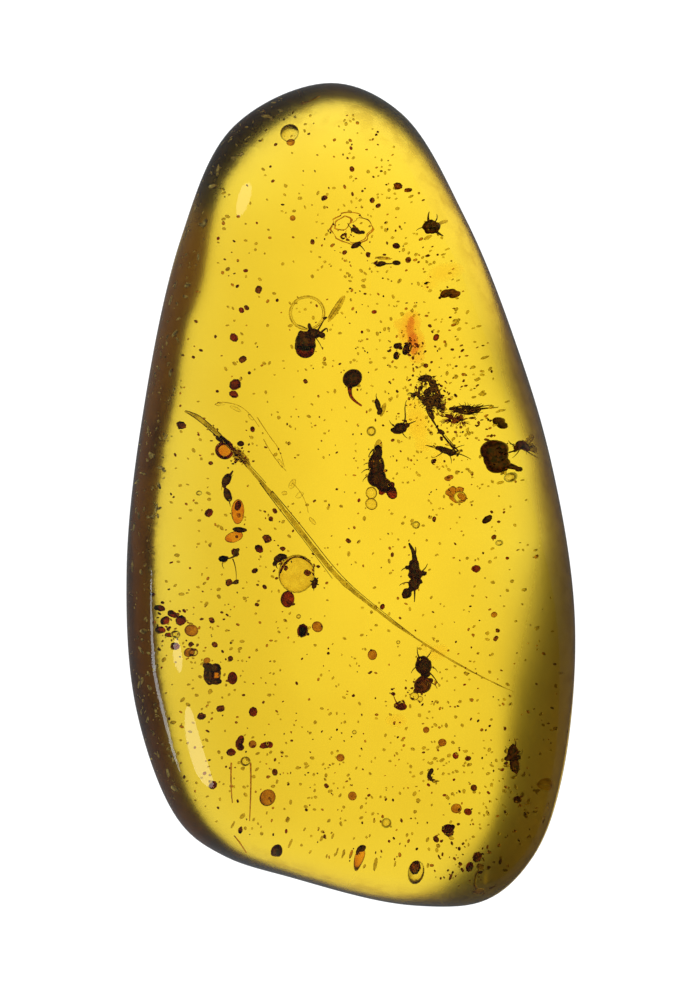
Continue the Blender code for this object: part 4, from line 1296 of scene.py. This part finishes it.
specks = {  # strewn: smallest and largest radius in millimetres
    "darkSpecks": {"look": "crumb", "count": 420, "radii": (0.03, 0.08), "rough": 0.7},
    "redSpecks": {"look": "cherry", "count": 130, "radii": (0.035, 0.085), "rough": 0.3},
    "brownSpecks": {"look": "brownDrop", "count": 300, "radii": (0.035, 0.085), "rough": 0.3},
    "oliveSpecks": {"look": "oliveDrop", "count": 1150, "radii": (0.045, 0.1), "rough": 0.6},
}
strewing = {
    "across": (-11.0, 11.0), "along": (-20.5, 20.5), "heights": (3.6, 6.2),
    "stretch": 0.5, "everywhere": 0.38, "most": 1.5,
    "crowds": [  # where the specks lie thick: middle x, y, reach x, y, weight
        (4.0, 7.5, 4.0, 6.0, 1.0), (4.6, 2.5, 3.0, 3.0, 0.8), (0.0, -15.0, 9.0, 4.5, 0.7),
        (-7.5, -7.0, 2.0, 3.5, 0.9), (1.5, 15.0, 3.0, 4.0, 0.7), (-5.0, -4.0, 2.5, 4.0, 0.4),
        (5.5, -12.0, 3.0, 5.0, 0.5)],
}


def crowding(x, y):
    share = strewing["everywhere"]
    for middleX, middleY, reachX, reachY, weight in strewing["crowds"]:
        share += weight * math.exp(-((x - middleX) / reachX) ** 2 - ((y - middleY) / reachY) ** 2)
    return share


def strewSpecks():
    for name, kind in specks.items():
        smallest, largest = kind["radii"]
        spots = []
        while len(spots) < kind["count"]:
            x = chance.uniform(*strewing["across"])
            y = chance.uniform(*strewing["along"])
            if chance.random() * strewing["most"] > crowding(x, y):
                continue
            place = underDome(x, y, chance.uniform(*strewing["heights"]))
            if place:
                spots.append(place + (smallest + (largest - smallest) * chance.random() ** 2,))
        scatterGrains(name, kind["look"], spots, kind["rough"], strewing["stretch"])


crumbClouds = {  # crumbs flung round the larger scraps
    "spread": 0.55, "heights": (4.0, 5.8), "radius": 0.025, "larger": 0.06, "rough": 0.9, "stretch": 0.6,
    "clouds": [  # middle x, y, reach x, y, how many
        (4.2, 4.9, 1.3, 1.1, 80), (5.6, 3.6, 1.3, 0.9, 40), (2.9, 7.4, 0.8, 0.8, 40),
        (-9.0, -6.6, 0.8, 1.4, 34), (5.6, -18.6, 1.6, 1.3, 40), (-0.2, 13.2, 0.9, 0.6, 24),
        (7.6, 2.2, 0.5, 0.9, 24),
        (3.3, -9.7, 0.7, 0.6, 20), (-3.4, -3.5, 0.35, 0.4, 22), (-1.9, -3.5, 0.3, 0.4, 12),
        (-5.6, 1.9, 0.6, 0.5, 26)],
}


def flingCrumbs(look):
    flung = []
    for middleX, middleY, reachX, reachY, count in look["clouds"]:
        for _ in range(count):
            x = chance.gauss(middleX, reachX * look["spread"])
            y = chance.gauss(middleY, reachY * look["spread"])
            place = underDome(x, y, chance.uniform(*look["heights"]))
            if place:
                flung.append(place + (look["radius"] + look["larger"] * chance.random() ** 2,))
    scatterGrains("flungCrumbs", "crumb", flung, look["rough"], look["stretch"])


rimGrit = {  # pale grit caught low along the edge
    "count": 520, "inward": (0.35, 2.6), "above": 0.25, "radius": 0.03, "larger": 0.07,
    "rough": 0.9, "stretch": 1.2,
    "thick": [(0, 90, 0.35), (90, 225, 0.7), (225, 285, 0.15), (285, 360.1, 1.0)],  # degrees, share kept
}
skinFlecks = {  # crazed skin right under the dome, on the left
    "count": 300, "between": (92, 228), "inward": (0.15, 1.5), "crowding": 1.3,
    "radius": 0.04, "larger": 0.13, "fewLarge": 2.5, "under": 0.05, "rough": 0.9, "stretch": 1.2,
}
rimStations = evenStations(pebbleShape, 720)
rimStations.sort(key=lambda spot: math.atan2(spot.y, spot.x) % (2 * math.pi))


def rimSpot(turn, inward):
    spot = rimStations[int(turn / 360.0 * len(rimStations))]
    return spot - spot.normalized() * inward


def scatterRimGrit(look):
    grit = []
    nearest, depth = look["inward"]
    while len(grit) < look["count"]:
        turn = chance.uniform(0.0, 360.0)
        inward = nearest + depth * chance.random()
        kept = next(share for low, high, share in look["thick"] if low <= turn < high)
        if chance.random() > kept:
            continue
        spot = rimSpot(turn, inward)
        place, _ = stoneSurface(spot.x, spot.y, "below")
        if place:
            radius = look["radius"] + look["larger"] * chance.random() ** 2
            grit.append((spot.x, spot.y, place.z + look["above"], radius))
    scatterGrains("rimDustGrains", "dust", grit, look["rough"], look["stretch"])


def scatterSkinFlecks(look):
    flecks = []
    nearest, depth = look["inward"]
    for _ in range(look["count"]):
        turn = chance.uniform(*look["between"])
        spot = rimSpot(turn, nearest + depth * chance.random() ** look["crowding"])
        place, normal = stoneSurface(spot.x, spot.y)
        radius = look["radius"] + look["larger"] * chance.random() ** look["fewLarge"]
        if place:
            flecks.append(tuple(place - normal * (radius + look["under"])) + (radius,))
    scatterGrains("crazedSkinFlecks", "dust", flecks, look["rough"], look["stretch"])


bpy.context.view_layer.update()  # lets rays be cast at the stone
placeFoundSpots()
strewSpecks()
flingCrumbs(crumbClouds)
scatterRimGrit(rimGrit)
scatterSkinFlecks(skinFlecks)
print("crumbs, bubbles and grit strewn")

threadTip = 0.6  # share of the radius left at the end
threadPaths = {  # points in millimetres
    "lostWingVeins": {
        "look": "oliveDrop", "thickness": 0.024,
        "paths": [
            [(-6.4, 4.6, 5.0), (-5.7, 4.65, 5.0), (-4.9, 4.1, 5.0), (-4.5, 3.4, 5.0)],
            [(-4.6, 3.9, 5.2), (-4.0, 2.9, 5.2), (-3.5, 2.3, 5.2), (-3.3, 1.4, 5.2)],
            [(-4.3, 2.8, 5.0), (-3.9, 1.9, 5.0), (-3.2, 1.2, 5.0)],
            [(-2.9, 0.6, 5.3), (-2.3, 0.1, 5.3), (-2.1, -0.9, 5.3)],
        ],
    },
    "scratches": {
        "look": "brownDrop", "thickness": 0.045,
        "paths": [
            [(-5.9, -13.3, 8.2), (-5.95, -14.3, 8.2), (-5.85, -15.3, 8.1)],
            [(-4.95, -13.3, 8.4), (-4.9, -14.8, 8.3), (-5.0, -16.2, 8.1)],
            [(-5.8, -17.0, 7.4), (-5.5, -17.4, 7.3), (-5.2, -17.9, 7.2)],
            [(-2.5, 19.6, 6.0), (-2.0, 19.8, 6.0), (-1.5, 20.1, 5.9)],
        ],
    },
    "fibreStreaks": {
        "look": "wood", "thickness": 0.022,
        "paths": [
            [
                (-7.65, 4.15, 4.6), (-7.2, 4.0, 4.6), (-6.8, 3.6, 4.6), (-6.2, 2.95, 4.6),
                (-5.2, 1.75, 4.6), (-4.2, 0.6, 4.6),
            ],
            [(-7.6, 4.05, 4.6), (-7.3, 3.8, 4.6), (-6.9, 3.4, 4.6), (-6.35, 2.85, 4.6)],
            [(-4.5, 0.6, 4.6), (-3.5, -0.8, 4.6), (-2.6, -1.9, 4.6), (-0.9, -4.2, 4.6)],
            [(-3.9, 0.2, 4.6), (-2.4, -1.6, 4.6), (-0.6, -3.95, 4.6), (1.0, -5.4, 4.6), (3.2, -7.1, 4.6)],
        ],
    },
    "ringBubbleCrust": {
        "look": "crumb", "thickness": 0.045,
        "paths": [
            [
                (-3.55, -4.2, 5.3), (-3.4, -3.6, 5.3), (-2.9, -3.15, 5.3), (-2.3, -3.2, 5.3),
                (-1.8, -3.7, 5.3),
            ],
            [(-3.45, -3.9, 5.4), (-3.2, -3.35, 5.4), (-2.75, -3.1, 5.4)],
            [(-2.5, -3.1, 5.4), (-2.0, -3.3, 5.4)],
        ],
    },
}


def layThreads():
    for name, thread in threadPaths.items():
        strands = [addLimb(path, thread["thickness"], threadTip) for path in thread["paths"]]
        finishPiece(joinAll(strands, name), looks[thread["look"]])


wingFlakes = {  # glassy scraps of a lost wing beside the fibre: x, y, length, width, turn
    "height": 5.0, "thickness": 0.12, "rough": 1.2,
    "flakes": [
        (-2.9, 0.55, 0.55, 0.3, 60), (-2.55, 0.0, 0.45, 0.26, 30), (-5.6, 4.3, 0.6, 0.2, -30),
        (-4.9, 3.9, 0.4, 0.16, -50), (-3.5, 1.6, 0.5, 0.16, -60), (-1.9, -1.3, 0.5, 0.2, -50),
        (-3.3, 0.1, 0.3, 0.24, 0), (-6.3, 4.5, 0.5, 0.14, 0)],
}


def layWingFlakes(look):
    scraps = []
    for x, y, length, width, turn in look["flakes"]:
        ball = (0.0, 0.0, length, width, turn, look["thickness"])
        scraps.append(growBody((x, y, look["height"]), [ball], look["rough"]))
    finishPiece(joinAll(scraps, "wingFlakes"), looks["gas"])


resinStain = {
    "resinStainCore": {
        "look": "stain", "rough": 2.6, "depth": 1.0,
        "balls": [(-0.05, 0.45, 1.1, 0.4, 80), (0.08, -0.2, 1.0, 0.5, 100), (0.2, -0.75, 0.6, 0.36, 60)],
    },
    "resinStainHaze": {
        "look": "haze", "rough": 2.5,
        "balls": [
            (-0.1, 0.35, 1.8, 1.1, 80), (0.15, -0.4, 1.5, 1.1, 100), (-0.5, 0.55, 0.8, 0.6, 0),
            (0.3, -1.1, 0.8, 0.7, 0),
        ],
    },
}
goldenStains = {  # middle in millimetres, and balls as above
    "glowByMidge": ((4.35, 1.9, 5.2), [(0.0, 0.0, 0.9, 0.5, 60), (0.1, -0.4, 0.5, 0.4, 0)]),
    "glowByAnt": ((4.35, -7.9, 5.2), [(0.0, 0.0, 1.2, 0.8, 20), (-0.6, 0.3, 0.7, 0.5, 0)]),
    "glowBySplinter": (
        (3.35, 3.6, 4.9), [(0.0, 0.0, 2.0, 1.1, 100), (0.3, -1.1, 0.9, 0.7, 0), (-0.2, 0.9, 0.8, 0.7, 0)]),
    "glowByGnat": ((4.2, 10.9, 5.0), [(0.0, 0.0, 1.3, 0.9, 0), (-0.5, -0.5, 0.8, 0.6, 0)]),
    "glowByCherrySeed": ((2.3, -11.3, 5.2), [(0.0, 0.0, 1.1, 0.7, 0)]),
}
stainRough = 2.0

layThreads()
layWingFlakes(wingFlakes)
growFind("resin_stain", resinStain)
for name, (at, balls) in goldenStains.items():
    finishPiece(joinAll([growBody(at, balls, stainRough)], name), looks["glow"])
print("threads, flakes and stains laid")

padLook = {  # a glowing pad under the stone; millimetres
    "size": 3000.0, "below": 0.05,
    "colour": "#5c5c5c", "roughness": 0.9,
    "glow": 2.25,
    "seen": 1.05,  # what the camera sees of it, all one white
    "reach": (11.4, 21.0),  # from the middle, across and along
    "steps": [(1.0, 1.0), (1.35, 0.5), (2.0, 0.45), (3.0, 0.05)],  # times the reach, share of the glow
    "mirrored": (0.05, 0.006), "mirroredAcross": (-12, 4),  # what the polish shows of it, left to right
    "lampUnder": (2.0, 5.0), "lampOval": (1.0, 0.3, 0.0), "lampReach": (3, 14), "sideShare": 0.6,
}
roomLook = {
    "colour": "#e4f2ff", "strength": 1.2,
    "onSolids": 1.3,  # light on the dark solids inside
    "mirrored": (0.17, 0.02), "mirroredSides": (-0.6, 0.6),  # what the polish shows, left to right
}


# 1 for what the polish mirrors, 0 for the camera and for light inside the amber
def mirroredOutside(material, rays):
    outside = addNode(material, "ShaderNodeMath", operation="SUBTRACT", links={
        0: rays.outputs["Is Glossy Ray"], 1: rays.outputs["Is Transmission Ray"]})
    return outside.outputs["Value"]


def padGlow(material, look, rays):
    place = addNode(material, "ShaderNodeTexCoord").outputs["Object"]
    axes = addNode(material, "ShaderNodeSeparateXYZ", links={0: place})
    farthest = look["steps"][-1][0]
    shrink = [1 / (reach * farthest * millimetre) for reach in look["reach"]]
    scaled = addNode(material, "ShaderNodeVectorMath", {1: (*shrink, 0.0)}, {0: place},
                     operation="MULTIPLY")
    far = addNode(material, "ShaderNodeVectorMath", links={0: scaled.outputs["Vector"]}, operation="LENGTH")
    fade = addNode(material, "ShaderNodeValToRGB", links={"Fac": far.outputs["Value"]})
    while len(fade.color_ramp.elements) < len(look["steps"]):
        fade.color_ramp.elements.new(0.5)
    for element, (step, share) in zip(fade.color_ramp.elements, look["steps"]):
        element.position = step / farthest
        element.color = (share, share, share, 1.0)

    shares = [look["glow"] * share for share in look["mirrored"]]
    polish = fadeBetween(material, axes.outputs["X"], look["mirroredAcross"], shares)
    mirrored = addNode(material, "ShaderNodeMapRange", {"To Min": look["glow"]}, {
        "Value": mirroredOutside(material, rays), "To Max": polish})

    lampX, lampY = look["lampUnder"]
    aside = addNode(material, "ShaderNodeVectorMath", {1: (-lampX * millimetre, -lampY * millimetre, 0.0)},
                    {0: place}, operation="ADD")
    oval = addNode(material, "ShaderNodeVectorMath", {1: look["lampOval"]}, {0: aside.outputs["Vector"]},
                   operation="MULTIPLY")
    away = addNode(material, "ShaderNodeVectorMath", links={0: oval.outputs["Vector"]}, operation="LENGTH")
    dim = fadeBetween(material, away.outputs["Value"], look["lampReach"], (1.0, look["sideShare"]))
    even = multiplied(material, mirrored.outputs["Result"], dim)
    return multiplied(material, fade.outputs["Color"], even)


def buildPad(look):
    bpy.ops.object.select_all(action="DESELECT")
    bpy.ops.mesh.primitive_plane_add(
        size=look["size"] * millimetre, location=(0.0, 0.0, -look["below"] * millimetre))
    pad = bpy.context.object
    pad.name = "lightPad"
    material, shader = startMaterial("paleLightPad")
    shader.inputs["Base Color"].default_value = linear(look["colour"])
    shader.inputs["Roughness"].default_value = look["roughness"]
    shader.inputs["Specular IOR Level"].default_value = 0.0
    shader.inputs["Emission Color"].default_value = white
    rays = addNode(material, "ShaderNodeLightPath")
    plain = addNode(material, "ShaderNodeMix", {"B": look["seen"]}, {
        "Factor": rays.outputs["Is Camera Ray"], "A": padGlow(material, look, rays)})
    material.node_tree.links.new(plain.outputs["Result"], shader.inputs["Emission Strength"])
    pad.data.materials.append(material)


def buildRoom(look):
    world = bpy.data.worlds.new("softRoom")
    world.use_nodes = True
    back = world.node_tree.nodes["Background"]
    back.inputs["Color"].default_value = linear(look["colour"])
    rays = addNode(world, "ShaderNodeLightPath")
    ways = addNode(world, "ShaderNodeTexCoord")
    facing = addNode(world, "ShaderNodeSeparateXYZ", links={0: ways.outputs["Generated"]})
    polish = addNode(world, "ShaderNodeMapRange", {
        "From Min": look["mirroredSides"][0], "From Max": look["mirroredSides"][1],
        "To Min": look["mirrored"][0], "To Max": look["mirrored"][1]}, {"Value": facing.outputs["X"]})
    mirrored = addNode(world, "ShaderNodeMapRange", {"To Min": look["strength"]}, {
        "Value": mirroredOutside(world, rays), "To Max": polish.outputs["Result"]})
    onSolid = addNode(world, "ShaderNodeMath", {1: 1.0}, {0: rays.outputs["Diffuse Depth"]},
                      operation="MINIMUM")
    strength = addNode(world, "ShaderNodeMix", {"B": look["onSolids"]}, {
        "Factor": onSolid.outputs["Value"], "A": mirrored.outputs["Result"]})
    world.node_tree.links.new(strength.outputs["Result"], back.inputs["Strength"])
    bpy.context.scene.world = world


cameraLook = {  # the distance in metres, the rest in millimetres
    "distance": 0.25, "above": 4.0, "sensor": 36.0, "seenHeight": 50.3594196, "offset": (-0.02, -0.1),
}


def placeCamera(look):
    camera = bpy.data.cameras.new("overheadCamera")
    camera.sensor_width = look["sensor"]
    camera.lens = look["sensor"] * look["distance"] / (look["seenHeight"] * millimetre)
    camera.clip_start = 0.001
    mount = bpy.data.objects.new("overheadCamera", camera)
    bpy.context.scene.collection.objects.link(mount)
    x, y = look["offset"]
    mount.location = (x * millimetre, y * millimetre, look["distance"] + look["above"] * millimetre)
    bpy.context.scene.camera = mount


softLamps = {  # which way each stands, size in metres, brightness, colour
    "windowLight": {"way": (-0.52, 0.52, 0.68), "size": (0.06, 0.07), "glow": 1.9, "colour": "#fff6e6"},
    "streakLight": {"way": (-0.66, -0.33, 0.64), "size": (0.14, 0.1), "glow": 2.5, "colour": "#fffaf0"},
    "lowLeftLight": {"way": (-0.95, -0.22, 0.09), "size": (0.13, 0.03), "glow": 3.6, "colour": "#dce6f4"},
}
lampDistance = 0.3  # metres, as is the spot that the lamps face
lampTarget = Vector((0.0, 0.0, 0.005))


def hangLamps():
    for name, look in softLamps.items():
        light = bpy.data.lights.new(name, "AREA")
        light.shape = "ELLIPSE"
        light.size, light.size_y = look["size"]
        light.energy = look["glow"] * look["size"][0] * look["size"][1] * math.pi
        light.color = linear(look["colour"])[:3]
        lamp = bpy.data.objects.new(name, light)
        bpy.context.scene.collection.objects.link(lamp)
        lamp.location = Vector(look["way"]) * lampDistance
        lamp.rotation_euler = (lampTarget - lamp.location).to_track_quat("-Z", "Y").to_euler()
        lamp.visible_transmission = False  # seen only as highlights on the polish
        lamp.visible_diffuse = False


bounces = {  # enough for light to cross the stone and the drops in it
    "max_bounces": 24, "transmission_bounces": 24, "glossy_bounces": 12, "transparent_max_bounces": 16,
}

buildPad(padLook)
buildRoom(roomLook)
placeCamera(cameraLook)
hangLamps()
scene = bpy.context.scene
scene.view_settings.view_transform = "Standard"
for kind, count in bounces.items():
    setattr(scene.cycles, kind, count)
print("stage set")
